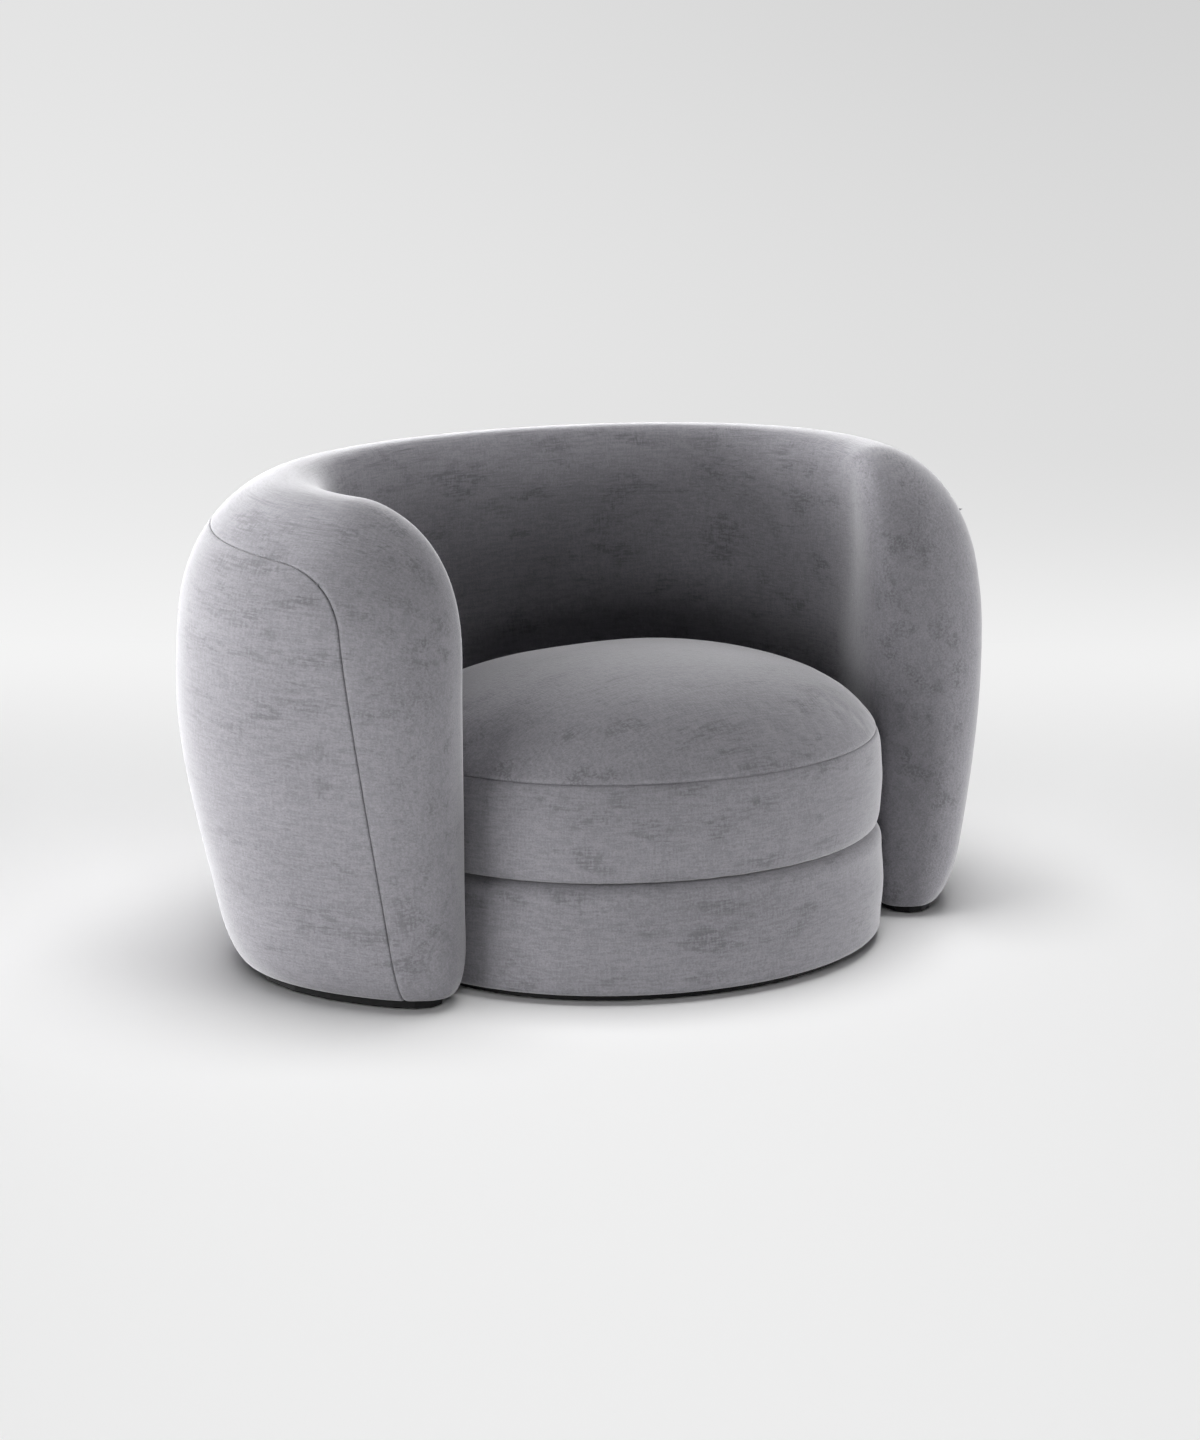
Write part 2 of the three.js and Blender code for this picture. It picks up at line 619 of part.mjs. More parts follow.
// A body turned round the seat's upright axis. Its rear half is then made squarer, to fill the corners of the bay, and
// the whole is squashed from front to back to the seat's oval.
function seatBody(profile) {
  const turned = new THREE.LatheGeometry(profile, SEAT_FACET_COUNT).rotateX(quarter);
  const places = turned.attributes.position;
  for (let i = 0; i < places.count; i++) {
    const [x, y] = [places.getX(i), Math.max(places.getY(i), 0)];
    const powers = Math.abs(x) ** SEAT_REAR_EXPONENT + y ** SEAT_REAR_EXPONENT;
    const fuller = y > 0 ? Math.hypot(x, y) / powers ** (1 / SEAT_REAR_EXPONENT) : 1;
    places.setXY(i, x * fuller, places.getY(i) * fuller);
  }
  return closed(turned.scale(1, seatDepthShare, 1).translate(0, seatMiddle, 0));
}

// How far the seat's oval of this radius reaches from its middle line, at this distance to the side
function seatReach(radius, x, exponent) {
  return Math.max(radius ** exponent - Math.abs(x) ** exponent, 0) ** (1 / exponent) * seatDepthShare;
}

function ring(innerRadius, outerRadius, low, high) {
  const corners = [[innerRadius, low], [outerRadius, low], [outerRadius, high], [innerRadius, high], [innerRadius, low]];
  return seatBody(corners.map(([r, z]) => new THREE.Vector2(r, z)));
}

function disc(radius, low, high) {
  return seatBody([[0, low], [radius, low], [radius, high], [0, high]].map(([r, z]) => new THREE.Vector2(r, z)));
}

const drumRadius = seatHalfWidth - DRUM_SETBACK;
const hoopRadius = drumRadius - DRUM_FOAM;
const floorFoot = PLINTH_HEIGHT + COVER + GAP;

// The stack on the ring, from the ring's top up to the crown of the deck cloth, which is level with the drum's top
const wireRadius = WIRE_DIAMETER / 2;
const wireRise = GAP + CLIP_STEEL + GAP + wireRadius;
const padRise = 2 * wireRise;
const ringTop = DRUM_HEIGHT - padRise - DECK_PAD - GAP - DECK_CLOTH - DECK_CROWN;
const padRadius = drumRadius - DRUM_ROUND_TOP - DRUM_HEM_TOP;
const clipRadius = hoopRadius - RING_WIDTH + CLIP_STRAP / 2;
const outerSpring = clipRadius * SPRING_SPREAD_SHARE - SPRING_HALF_WIDTH;

// The drum's side from its rounded foot, up its slightly swollen wall and over its rounded top edge
function drumSide(depth) {
  const corner = (radius, centreZ, from, to) => spread(from, to, ROUND_STEP_COUNT).map((angle) => new THREE.Vector2(
    drumRadius - radius + (radius - depth) * Math.cos(angle),
    centreZ + (radius - depth) * Math.sin(angle),
  ));
  const foot = corner(DRUM_ROUND_FOOT, PLINTH_HEIGHT + DRUM_ROUND_FOOT, -quarter, 0);
  const top = corner(DRUM_ROUND_TOP, DRUM_HEIGHT - DRUM_ROUND_TOP, 0, quarter);
  const middle = new THREE.Vector2(drumRadius + DRUM_BULGE - depth, (PLINTH_HEIGHT + DRUM_HEIGHT) / 2);
  return [...foot, middle, ...top];
}

function addSeatBase() {
  const hems = (depth) => [
    new THREE.Vector2(drumRadius - DRUM_ROUND_FOOT - HEM, PLINTH_HEIGHT + depth),
    ...drumSide(depth),
    new THREE.Vector2(padRadius, DRUM_HEIGHT - depth),
  ];
  const outside = hems(0);
  addPiece("seat_base_cover", seatBody([...outside, ...hems(COVER).reverse(), outside[0]]), velvet);

  const foamInside = hoopRadius + GAP;
  const foamSide = drumSide(COVER + GAP);
  const foamProfile = [
    new THREE.Vector2(foamInside, floorFoot),
    ...foamSide,
    new THREE.Vector2(padRadius + GAP, DRUM_HEIGHT - COVER - GAP),
    new THREE.Vector2(padRadius + GAP, ringTop + GAP),
    new THREE.Vector2(foamInside, ringTop + GAP),
    new THREE.Vector2(foamInside, floorFoot),
  ];
  addPiece("seat_base_foam", seatBody(foamProfile), foam);

  const ringFoot = ringTop - RING_PLY;
  addPiece("seat_base_floor", disc(hoopRadius, floorFoot, floorFoot + FLOOR_PLY), plywood);
  addPiece("seat_base_hoop", ring(hoopRadius - HOOP, hoopRadius, floorFoot + FLOOR_PLY + GAP, ringFoot - GAP), hardboard);
  addPiece("seat_base_ring", ring(hoopRadius - RING_WIDTH, hoopRadius, ringFoot, ringTop), plywood);

  const postFoot = floorFoot + FLOOR_PLY + GAP;
  const postHeight = ringFoot - GAP - postFoot;
  const postRing = hoopRadius - HOOP - POST_DIAMETER;
  range(POST_COUNT).forEach((i) => {
    const turn = ((i + 1 / 2) / POST_COUNT) * 2 * Math.PI;
    const post = new THREE.CylinderGeometry(POST_DIAMETER / 2, POST_DIAMETER / 2, postHeight, POST_FACET_COUNT);
    post.rotateX(quarter).translate(postRing * Math.cos(turn), seatMiddle, postFoot + postHeight / 2);
    post.translate(0, postRing * seatDepthShare * Math.sin(turn), 0);
    addPiece(`seat_base_post_${i + 1}`, closed(post), plywood);
  });
}

// The springs and the deck rise a little towards the middle of the seat
function crownAt(share) {
  return DECK_CROWN * (1 - share ** 2);
}

function addSprings() {
  range(SPRING_COUNT).forEach((i) => {
    const x = lerp(-outerSpring, outerSpring, i / (SPRING_COUNT - 1));
    const side = Math.abs(x) + SPRING_HALF_WIDTH;
    const front = seatMiddle - seatReach(clipRadius, side, 2);
    const rear = seatMiddle + seatReach(clipRadius, side, SEAT_REAR_EXPONENT);
    const bars = 2 * Math.round((rear - front) / SPRING_PITCH / 2);
    const path = range(bars + 1).flatMap((bar) => {
      const share = (2 * bar) / bars - 1;
      const z = ringTop + wireRise + crownAt(x / clipRadius) * (1 - share ** 2);
      const corners = [SPRING_HALF_WIDTH, -SPRING_HALF_WIDTH].map((across) => (
        new THREE.Vector3(x + across, lerp(front, rear, bar / bars), z)
      ));
      return bar % 2 ? corners : corners.reverse();
    });
    const curve = new THREE.CatmullRomCurve3(path, false, "catmullrom", SPRING_ROUNDING_SHARE);
    const section = new THREE.Shape();
    section.absarc(0, 0, wireRadius, 0, 2 * Math.PI);
    const options = { steps: path.length * SPRING_STEP_COUNT, extrudePath: curve, curveSegments: SPRING_SIDE_COUNT };
    addPiece(`seat_spring_${i + 1}`, closed(new THREE.ExtrudeGeometry(section, options)), springSteel);
    addPiece(`spring_clip_front_${i + 1}`, clipBody(x, front, -1), springSteel);
    addPiece(`spring_clip_rear_${i + 1}`, clipBody(x, rear, 1), springSteel);
  });
}

// A steel strap nailed on the ring, bent up round the end bar of a spring and back over it
function clipBody(x, y, along) {
  const inside = wireRadius + GAP;
  const outside = inside + CLIP_STEEL;
  const strap = new THREE.Shape();
  strap.moveTo(CLIP_STRAP, -outside);
  strap.absarc(0, 0, outside, -quarter, -3 * quarter, true);
  strap.lineTo(CLIP_FLAP, outside);
  strap.lineTo(CLIP_FLAP, inside);
  strap.absarc(0, 0, inside, -3 * quarter, -quarter, false);
  strap.lineTo(CLIP_STRAP, -inside);
  const clip = extruded(strap, CLIP_WIDTH).translate(0, 0, -CLIP_WIDTH / 2);
  const outwardAlongY = new THREE.Matrix4().makeBasis(
    new THREE.Vector3(0, along, 0),
    new THREE.Vector3(0, 0, 1),
    new THREE.Vector3(along, 0, 0),
  );
  return closed(clip.applyMatrix4(outwardAlongY).translate(x, y, ringTop + wireRise));
}

function addDeck() {
  const underside = ringTop + padRise;
  const dome = (z) => spread(0, 1, DOME_STEP_COUNT).map((share) => new THREE.Vector2(padRadius * share, z + crownAt(share)));
  const layer = (low, thickness) => seatBody([...dome(low), ...dome(low + thickness).reverse()]);
  addPiece("deck_pad", layer(underside, DECK_PAD), felt);
  addPiece("deck_cloth", layer(underside + DECK_PAD + GAP, DECK_CLOTH), blackCloth);
}

// The cushion: a swollen border between two edges, and a crown that rises from the upper edge in a quarter of an ellipse
const cushionFoot = DRUM_HEIGHT + GAP;
const seamHeight = DRUM_HEIGHT + CUSHION_BORDER;
const cushionEdge = seatHalfWidth - CUSHION_TUCK;

const borderLevels = spread(cushionFoot, seamHeight, BORDER_STEP_COUNT);

function borderSwell(level) {
  const share = level / BORDER_STEP_COUNT;
  return CUSHION_TUCK * Math.max(Math.sin(share * Math.PI), 0) ** BORDER_FULLNESS_SHARE;
}

// The border's profile between two heights, this deep under its surface
function borderSide(depth, low, high) {
  return [low, ...borderLevels.filter((z) => z > low && z < high), high].map((z) => {
    const at = clamp((z - cushionFoot) / (seamHeight - cushionFoot), 0, 1) * BORDER_STEP_COUNT;
    const level = Math.min(Math.floor(at), BORDER_STEP_COUNT - 1);
    const swell = lerp(borderSwell(level), borderSwell(level + 1), at - level);
    return new THREE.Vector2(cushionEdge - depth + swell, z);
  });
}

function crown(depth) {
  return spread(0, quarter, CROWN_STEP_COUNT).map((angle) => new THREE.Vector2(
    (cushionEdge - depth) * Math.max(Math.cos(angle), 0),
    seamHeight + (CUSHION_CROWN - depth) * Math.sin(angle),
  ));
}

function onAxis(profile) {
  profile[profile.length - 1].x = 0;
  return profile;
}

function addCushion() {
  addPiece("cushion_top_panel", seatBody([...onAxis(crown(COVER)).reverse(), ...onAxis(crown(0))]), velvet);

  const outer = borderSide(0, cushionFoot, seamHeight - GAP);
  const inner = borderSide(COVER, cushionFoot, seamHeight - GAP).reverse();
  const border = toSolid(seatBody([...outer, ...inner, outer[0]]));
  const zipMiddle = (cushionFoot + seamHeight) / 2;
  const slot = (gap) => {
    const size = [ZIP_LENGTH + 2 * gap, SEAT_HALF_DEPTH + OVERRUN, ZIP_HEIGHT + 2 * gap];
    const y = seatMiddle + (SEAT_HALF_DEPTH + OVERRUN) / 2;
    return toSolid(closed(new THREE.BoxGeometry(...size).translate(0, y, zipMiddle)));
  };
  addPiece("cushion_border", toGeometry(border.subtract(slot(GAP))), velvet);
  addPiece("cushion_zip", toGeometry(border.intersect(slot(0))), nylon);
  addPiece("cushion_base_panel", disc(cushionEdge - COVER - GAP, cushionFoot, cushionFoot + COVER), velvet);

  const depth = COVER + GAP;
  const foamFoot = new THREE.Vector2(0, cushionFoot + depth);
  const foamSide = borderSide(depth, cushionFoot + depth, seamHeight);
  addPiece("cushion_foam", seatBody([foamFoot, ...foamSide, ...onAxis(crown(depth)).slice(1)]), foam);
}

// The plinth follows the foot of the shell and of the drum, and fills the bay between them
function footprint(setback) {
  const reach = ARM_NOSE - setback;
  const nose = spread(0, quarter, NOSE_STEP_COUNT).map((angle) => planHalfLength + reach * Math.sin(angle));
  const right = [...spread(0, planHalfLength, FRAME_COLUMN_COUNT / 2), ...nose.slice(1)];
  const outer = [...right.toReversed().map((a) => -a), ...right.slice(1)];
  const inner = outer.slice(1, -1).reverse();
  const at = (a, side) => place(a, wallOffset(a, PLINTH_HEIGHT, side, setback), 0);
  return [...outer.map((a) => at(a, 1)), ...inner.map((a) => at(a, -1))];
}

function addPlinth() {
  const height = PLINTH_HEIGHT - 2 * GAP - GLIDE_HEIGHT;
  const flat = (points) => toSolid(extruded(new THREE.Shape(points.map(({ x, y }) => new THREE.Vector2(x, y))), height));
  const bay = spread(0, 1, FRAME_COLUMN_COUNT).map((t) => plan.getPoint(t));
  const drumFoot = drumRadius - PLINTH_SETBACK_DRUM;
  const oval = new THREE.Shape();
  oval.absellipse(0, seatMiddle, drumFoot, drumFoot * seatDepthShare, 0, 2 * Math.PI);
  const drumPart = toSolid(extruded(oval, height, SEAT_FACET_COUNT));
  const board = flat(footprint(PLINTH_SETBACK_SHELL)).add(flat(bay)).add(drumPart);
  addPiece("plinth", toGeometry(board).translate(0, 0, GLIDE_HEIGHT + GAP), blackLacquer);
}

function addGlides() {
  const wallMiddle = (OUTSET_FOOT - INSET_FOOT) / 2;
  const underShell = GLIDE_PLACE_SHARES.map((share) => place(share * planHalfLength, wallMiddle, 0));
  const underDrum = [-1, 1].map((side) => new THREE.Vector3(
    side * drumRadius * GLIDE_FRONT_X_SHARE,
    seatMiddle - SEAT_HALF_DEPTH * GLIDE_FRONT_Y_SHARE,
    0,
  ));
  const radius = GLIDE_DIAMETER / 2;
  const profile = [
    new THREE.Vector2(0, 0),
    new THREE.Vector2(radius - GLIDE_HEIGHT / 2, 0),
    new THREE.Vector2(radius, GLIDE_HEIGHT / 2),
    new THREE.Vector2(radius, GLIDE_HEIGHT),
    new THREE.Vector2(0, GLIDE_HEIGHT),
  ];
  [...underShell, ...underDrum].forEach(({ x, y }, i) => {
    const glide = closed(new THREE.LatheGeometry(profile, GLIDE_FACET_COUNT).rotateX(quarter).translate(x, y, 0));
    addPiece(`glide_${i + 1}`, glide, nylon);
  });
}

addShellCovers();
addShellFoams();
addShellFrame();
addSeatBase();
addSprings();
addDeck();
addCushion();
addPlinth();
addGlides();

// The chair is centred front to back between the back's roll and the front of the cushion
const backmost = PLAN_BACK_DEPTH + BACK_TOP_OFFSET + OUTSET_TOP - BACK_THINNING;
chair.position.y = -(backmost + seatMiddle - SEAT_HALF_DEPTH) / 2;

export default chair;
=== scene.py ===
"""Cuddle chair in grey velvet.

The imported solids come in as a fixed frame. Boards, ribs, springs, clips, plinth and glides keep
their solids and get finishes here. The covers are worked out again from the same measures, finely
enough for cloth, and stand for the solids of the covers and of the foam under them. Lengths are in
metres, -Y is the front of the chair and +Z is up.
"""

import json
import math
from functools import partial

import bmesh
import bpy
import numpy as np
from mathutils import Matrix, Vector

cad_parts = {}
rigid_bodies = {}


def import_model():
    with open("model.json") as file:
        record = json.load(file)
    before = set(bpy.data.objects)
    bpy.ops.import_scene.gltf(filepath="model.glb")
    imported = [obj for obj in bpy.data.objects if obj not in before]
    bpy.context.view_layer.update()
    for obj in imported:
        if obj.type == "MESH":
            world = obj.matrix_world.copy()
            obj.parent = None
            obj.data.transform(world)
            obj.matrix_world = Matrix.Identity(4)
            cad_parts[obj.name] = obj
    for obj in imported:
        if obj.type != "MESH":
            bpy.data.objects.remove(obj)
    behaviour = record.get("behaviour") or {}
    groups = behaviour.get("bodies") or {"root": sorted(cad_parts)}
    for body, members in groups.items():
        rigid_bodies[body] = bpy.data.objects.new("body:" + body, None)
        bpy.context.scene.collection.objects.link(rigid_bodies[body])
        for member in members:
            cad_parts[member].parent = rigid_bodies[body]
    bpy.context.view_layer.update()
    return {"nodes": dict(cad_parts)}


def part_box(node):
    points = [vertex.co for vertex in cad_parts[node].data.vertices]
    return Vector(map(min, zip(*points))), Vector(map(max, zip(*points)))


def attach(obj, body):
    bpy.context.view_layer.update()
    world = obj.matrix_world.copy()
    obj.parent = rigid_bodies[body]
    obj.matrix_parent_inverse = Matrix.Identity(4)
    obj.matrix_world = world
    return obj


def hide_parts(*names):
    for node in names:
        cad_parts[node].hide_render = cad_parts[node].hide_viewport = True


bl_info = {
    "name": "Cuddle chair",
    "version": (1, 0, 0),
    "blender": (4, 5, 0),
    "location": "3D View > Sidebar > Cuddle chair",
    "description": "Covers the chair's solids in velvet and gives its boards and springs their finishes",
    "category": "Object",
}

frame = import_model()
seat_low, seat_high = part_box("seat_base_cover")
zip_low, zip_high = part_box("cushion_zip")


# The camera as it was fitted to the photograph

CAMERA_TURN = 34.856  # degrees to the left of the chair's front
CAMERA_TILT = 12.27  # degrees down
CAMERA_DISTANCE = 5.182  # over the floor, from where the round back starts
CAMERA_HEIGHT = 1.4423
SENSOR = 36  # millimetres
PHOTO_PIXELS = 1440  # the photograph's height, along which the sensor lies
FOCAL_PIXELS = 3563.354
SHIFT_PIXELS = 1.487


# The lamps round the chair

LAMP_AIM = 0.3  # height that they all point at
# Name, degrees from the camera to the left, degrees up, distance, size, watts, and what it lights
LAMPS = (
    ("rear", 180, 25, 3.6, 1.8, 150, "chair"),
    ("right", -90, 10, 3.6, 1.8, 88, "chair"),
    ("front_left", 43, 10, 3.6, 1.8, 72, "chair"),
    ("front", 0, 1, 3.6, 0.6, 15, "chair"),
    ("left", 106, 10, 3.6, 1.8, 165, "chair"),
    ("left_rear_high", 120, 45, 3.6, 1.8, 41, "chair"),
    ("rear_high", 180, 70, 3.6, 1.8, 46, "chair"),
    ("overhead", 0, 90, 5.0, 3.5, 265, "floor"),
    ("front_low", 0, 25, 6.0, 2.5, 100, "floor"),
)


# Small limits

SEWN_WITHIN = 0.00002  # points of two grids this close are joined
TINY = 1e-9  # keeps a division away from zero


# Sizes and colours that can be changed


def length(name, description, default):
    return bpy.props.FloatProperty(
        name=name, description=description, default=default, unit="LENGTH", precision=4
    )


def ratio(name, description, default):
    return bpy.props.FloatProperty(name=name, description=description, default=default, min=0)


def colour(name, description, *default):
    return bpy.props.FloatVectorProperty(
        name=name, description=description, default=(*default, 1), size=4, subtype="COLOR", min=0, max=1
    )


class ShellSizes(bpy.types.PropertyGroup):
    """The horseshoe that makes back and arms, by the same measures as its solids."""

    half_width: length("Half width", "Middle of the wall to the chair's centre", 0.538)
    back_depth: length("Back depth", "How deep the round back is in plan", 0.314)
    plan_exponent: ratio("Plan exponent", "2 is an ellipse, more is squarer", 2.07)
    arm_length: length("Arm length", "Arm in front of the round back", 0.157)
    arm_curl: length("Arm curl", "How far the arms' fronts turn in", 0.0545)
    centre_y: length("Centre", "Where the round back starts, from the chair's middle", -0.02625)
    height: length("Height", "Floor to the top of the roll", 0.71)
    foot: length("Foot", "Floor to the underside of the cover", 0.0145)
    roll_height: length("Roll height", "Height of the rounded top", 0.205)
    roll_drop: length("Roll drop", "How much lower the roll starts at the arms", 0.011)
    roll_exponent: ratio("Roll exponent", "2 is an ellipse, more is fuller", 2.34)
    ridge_inward: length("Ridge inward", "How far the top of the roll leans inwards", 0.0582)
    outset_foot: length("Outset at the foot", "Outer face from the wall's middle line", 0.0545)
    outset_middle: length("Outset half way", "Outer face from the wall's middle line", 0.0928)
    outset_top: length("Outset under the roll", "Outer face from the wall's middle line", 0.0975)
    inset_foot: length("Inset at the foot", "Inner face from the wall's middle line", 0.087)
    inset_middle: length("Inset half way", "Inner face from the wall's middle line", 0.091)
    inset_top: length("Inset under the roll", "Inner face from the wall's middle line", 0.09)
    back_thinning: length("Back thinning", "How much thinner each side of the back is", 0.01)
    back_top_offset: length("Back top offset", "How far the back's top lies behind its foot", 0.078)
    arm_nose: length("Arm nose", "How far the rounded arm front reaches", 0.1188)
    nose_corner: length("Nose corner", "Corner between arm front and roll", 0.0653)
    foot_round_width: length("Foot rounding width", "How far the foot draws in", 0.021)
    foot_round_height: length("Foot rounding height", "How high that rounding starts", 0.078)
    plan_ease: length("Plan ease", "Run over which the plan's direction is averaged", 0.05)
    arm_ease: ratio("Arm ease", "How gently the back's lean ends at the arms", 0.04)
    seam_ahead_foot: length("Seam ahead at the foot", "Seam in front of the arm's end", 0.0498)
    seam_behind_top: length("Seam behind at the top", "Seam behind the arm's end", 0.0257)
    seam_below_top: length("Seam below the top", "Top of the roll to the seam round the back", 0.0495)
    seam_drop: length("Seam drop", "How much lower the seam is at the arms", 0.0484)
    seam_corner: length("Seam corner", "Size of the seam's rounded corner", 0.0727)
    seam_bow: length("Seam bow", "How far the seam up the arm bows forward", 0.0078)
    seam_bow_low: ratio("Seam bow low", "0 bows evenly, more bows most near the foot", 0.5)
    hem: length("Hem", "Cloth turned in under the foot", 0.028)
    roll_fill: length("Roll fill", "Extra padding inside the roll where arm meets back", 0.036)
    roll_fill_place: length("Roll fill place", "From the arm's end back to the middle of it", 0.27)
    roll_fill_low: length("Roll fill low", "Height where that padding starts", 0.38)
    roll_fill_high: length("Roll fill high", "Height where it is full", 0.62)
    arm_fill: length("Arm fill", "Extra padding inside the arm's front", 0.006)
    arm_fill_place: length("Arm fill place", "From the arm's end back to the middle of it", 0.05)
    arm_fill_reach: length("Arm fill reach", "From there to where it ends", 0.14)
    nose_lead: length("Nose lead", "How much earlier the arm's inside starts to round", 0.06)
    nose_exponent: ratio("Nose exponent", "2 is an ellipse, more is fuller, for the arm's inside", 3.0)
    side_swell: length("Side swell", "How far the outside swells round the rear corners", 0.0129)
    side_swell_place: length("Side swell place", "From the middle of the back along the wall", 0.56)
    side_swell_reach: length("Side swell reach", "From there to where it ends", 0.40)
    side_swell_height: length("Side swell height", "Height where it is fullest", 0.3675)
    side_swell_rise: length("Side swell rise", "From that height to where it ends", 0.2634)
    arm_slimming: length("Arm slimming", "How much thinner the arm's front is outside", 0.0052)
    arm_slimming_reach: length("Arm slimming reach", "From the arm's end back to where it starts", 0.30)


class SeatSizes(bpy.types.PropertyGroup):
    """The drum and the loose cushion on it, by the same measures as their solids."""

    half_width: length("Half width", "Half the seat's width", 0.38735)
    half_depth: length("Half depth", "Half the seat's depth", 0.333)
    middle: length("Middle", "The seat's middle line", (seat_low.y + seat_high.y) / 2)
    rear_exponent: ratio("Rear exponent", "2 is an ellipse, more is squarer", 2.6)
    drum_setback: length("Drum setback", "Drum inside the seat's outline", 0.006)
    drum_foot: length("Drum foot", "Floor to the drum's underside", seat_low.z - 0.005)
    drum_height: length("Drum height", "Floor to the drum's top", seat_high.z)
    drum_round_foot: length("Drum foot rounding", "Radius", 0.012)
    drum_round_top: length("Drum top rounding", "Radius", 0.022)
    drum_bulge: length("Drum bulge", "How far its side swells", 0.004)
    drum_hem: length("Drum hem", "Cloth turned in over the drum's top", 0.026)
    drum_foot_hem: length("Drum foot hem", "Cloth turned in under the drum's foot", 0.028)
    cushion_gap: length("Cushion gap", "Between drum and cushion", 0.0003)
    cushion_tuck: length("Cushion tuck", "How far the border's edges draw in", 0.017)
    cushion_border: length("Cushion border", "Drum's top to the cushion's seam", 0.143)
    cushion_crown: length("Cushion crown", "Seam to the top of the cushion", 0.126)
    border_fullness: ratio("Border fullness", "Less is fuller near its edges", 0.7)


class ClothSizes(bpy.types.PropertyGroup):
    """Thickness, seams and filling of the covers."""

    thickness: length("Thickness", "Velvet with its backing", 0.002)
    seam_depth: length("Seam depth", "How far the cloth dips at a seam", 0.004)
    seam_width: length("Seam width", "How far from a seam the outside panel starts to dip", 0.003)
    lip_width: length("Lip width", "How far from a seam the rounder lip beside it starts", 0.0075)
    unevenness: length("Unevenness", "How much the padding's surface varies", 0.0006)
    filling_inset: length("Filling inset", "How much smaller the cushion is before it fills", 0.006)
    filling_cap: length("Filling cap", "The most that filling moves the cloth", 0.0085)
    filling_margin: length("Filling margin", "How far from a held edge it is that much smaller", 0.05)
    filling_mesh: length("Filling mesh", "Edge of the even mesh in the cloth simulation", 0.008)
    filling_pressure: ratio("Filling pressure", "Pressure in the cloth simulation", 4)
    filling_stiffness: ratio("Filling stiffness", "Stiffness against bending in the cloth simulation", 2)
    held_seam: length("Held seam", "Cloth held on each side of the cushion's seam", 0.006)
    held_base: length("Held base", "Cloth held above the cushion's base", 0.003)
    held_zip_above: length("Held above the zip", "Cloth held above and below the zip", 0.006)
    held_zip_beside: length("Held beside the zip", "Cloth held beside the zip", 0.01)
    deck_thickness: length("Deck thickness", "Black cloth over the felt", 0.0014)
    deck_room: length("Deck room", "Room for that cloth between felt and cushion", 0.0015)


class ZipSizes(bpy.types.PropertyGroup):
    """The zip in the back of the cushion's border."""

    tape_proud: length("Tape proud", "Middle of the tapes, proud of the border", 0.0012)
    tape_edge: length("Tape edge", "How much less proud the tapes' edges are", 0.0008)
    tape_thickness: length("Tape thickness", "Tape", 0.001)
    tooth_proud: length("Tooth proud", "Middle of a tooth, proud of the border", 0.0016)
    tooth_radius: length("Tooth radius", "Half a tooth's thickness", 0.0008)
    tooth_stagger: length("Tooth stagger", "How far a tooth lies above or below the middle", 0.0009)
    tooth_half: length("Half tooth", "Half a tooth's length", 0.0019)
    tooth_shoulder: length("Tooth shoulder", "From its middle to where its ends round off", 0.0015)
    tooth_tip: ratio("Tooth tip", "Share of its thickness left at its tips", 0.15)
    end_room: length("End room", "Tape beyond the last tooth", 0.008)


class StudioSizes(bpy.types.PropertyGroup):
    """The floor, which bends up into a wall behind the chair."""

    floor_front: length("Floor front", "Floor in front of the chair's middle", 8)
    floor_back: length("Floor back", "Floor behind it, up to the bend", 6)
    bend: length("Bend", "Radius of the bend", 3)
    wall: length("Wall", "Wall above the bend", 7)
    side: length("Side", "Floor to each side", 11)


class Colours(bpy.types.PropertyGroup):
    """Colours of the finishes and of the studio."""

    velvet: colour("Velvet", "Velvet with its pile brushed down", 0.246, 0.241, 0.261)
    velvet_mark: colour("Velvet marks", "Where the pile is brushed up", 0.115, 0.113, 0.124)
    # Painted sheen: the lighter colour that the velvet's colour is mixed towards where it is seen along its
    # surface
    velvet_painted_sheen: colour("Velvet painted sheen", "Velvet seen along its surface", 0.60, 0.595, 0.615)
    lacquer: colour("Lacquer", "Plinth", 0.004, 0.004, 0.0045)
    nylon: colour("Nylon", "Glides and zip", 0.012, 0.012, 0.013)
    plywood: colour("Plywood", "Light wood", 0.58, 0.40, 0.22)
    plywood_dark: colour("Plywood figure", "Darker wood between", 0.36, 0.21, 0.10)
    hardboard: colour("Hardboard", "Pressed fibre", 0.19, 0.10, 0.047)
    steel: colour("Spring steel", "Drawn wire", 0.42, 0.43, 0.45)
    felt: colour("Felt", "Deck pad", 0.16, 0.145, 0.125)
    deck: colour("Deck cloth", "Black cloth under the cushion", 0.008, 0.008, 0.009)
    floor: colour("Floor", "Floor and backdrop", 0.88, 0.88, 0.88)


# Meshes from grids of points


def blend_values(low, high, share):
    return low + (high - low) * share


def smooth(share):
    return share * share * (3 - 2 * share)


def window(value, middle, reach):
    """1 at the middle and 0 from the reach on, by the square of a cosine."""
    return np.cos(np.clip(np.abs(value - middle) / reach, 0, 1) * np.pi / 2) ** 2


def grid_faces(rows, columns, first, turned):
    """Four corners for each cell of a grid numbered row by row, wound the other way if turned."""
    corner = first + np.arange(rows * columns).reshape(rows, columns)
    around = [corner[:-1, :-1], corner[:-1, 1:], corner[1:, 1:], corner[1:, :-1]]
    return np.stack(around[::-1] if turned else around, -1).reshape(-1, 4)


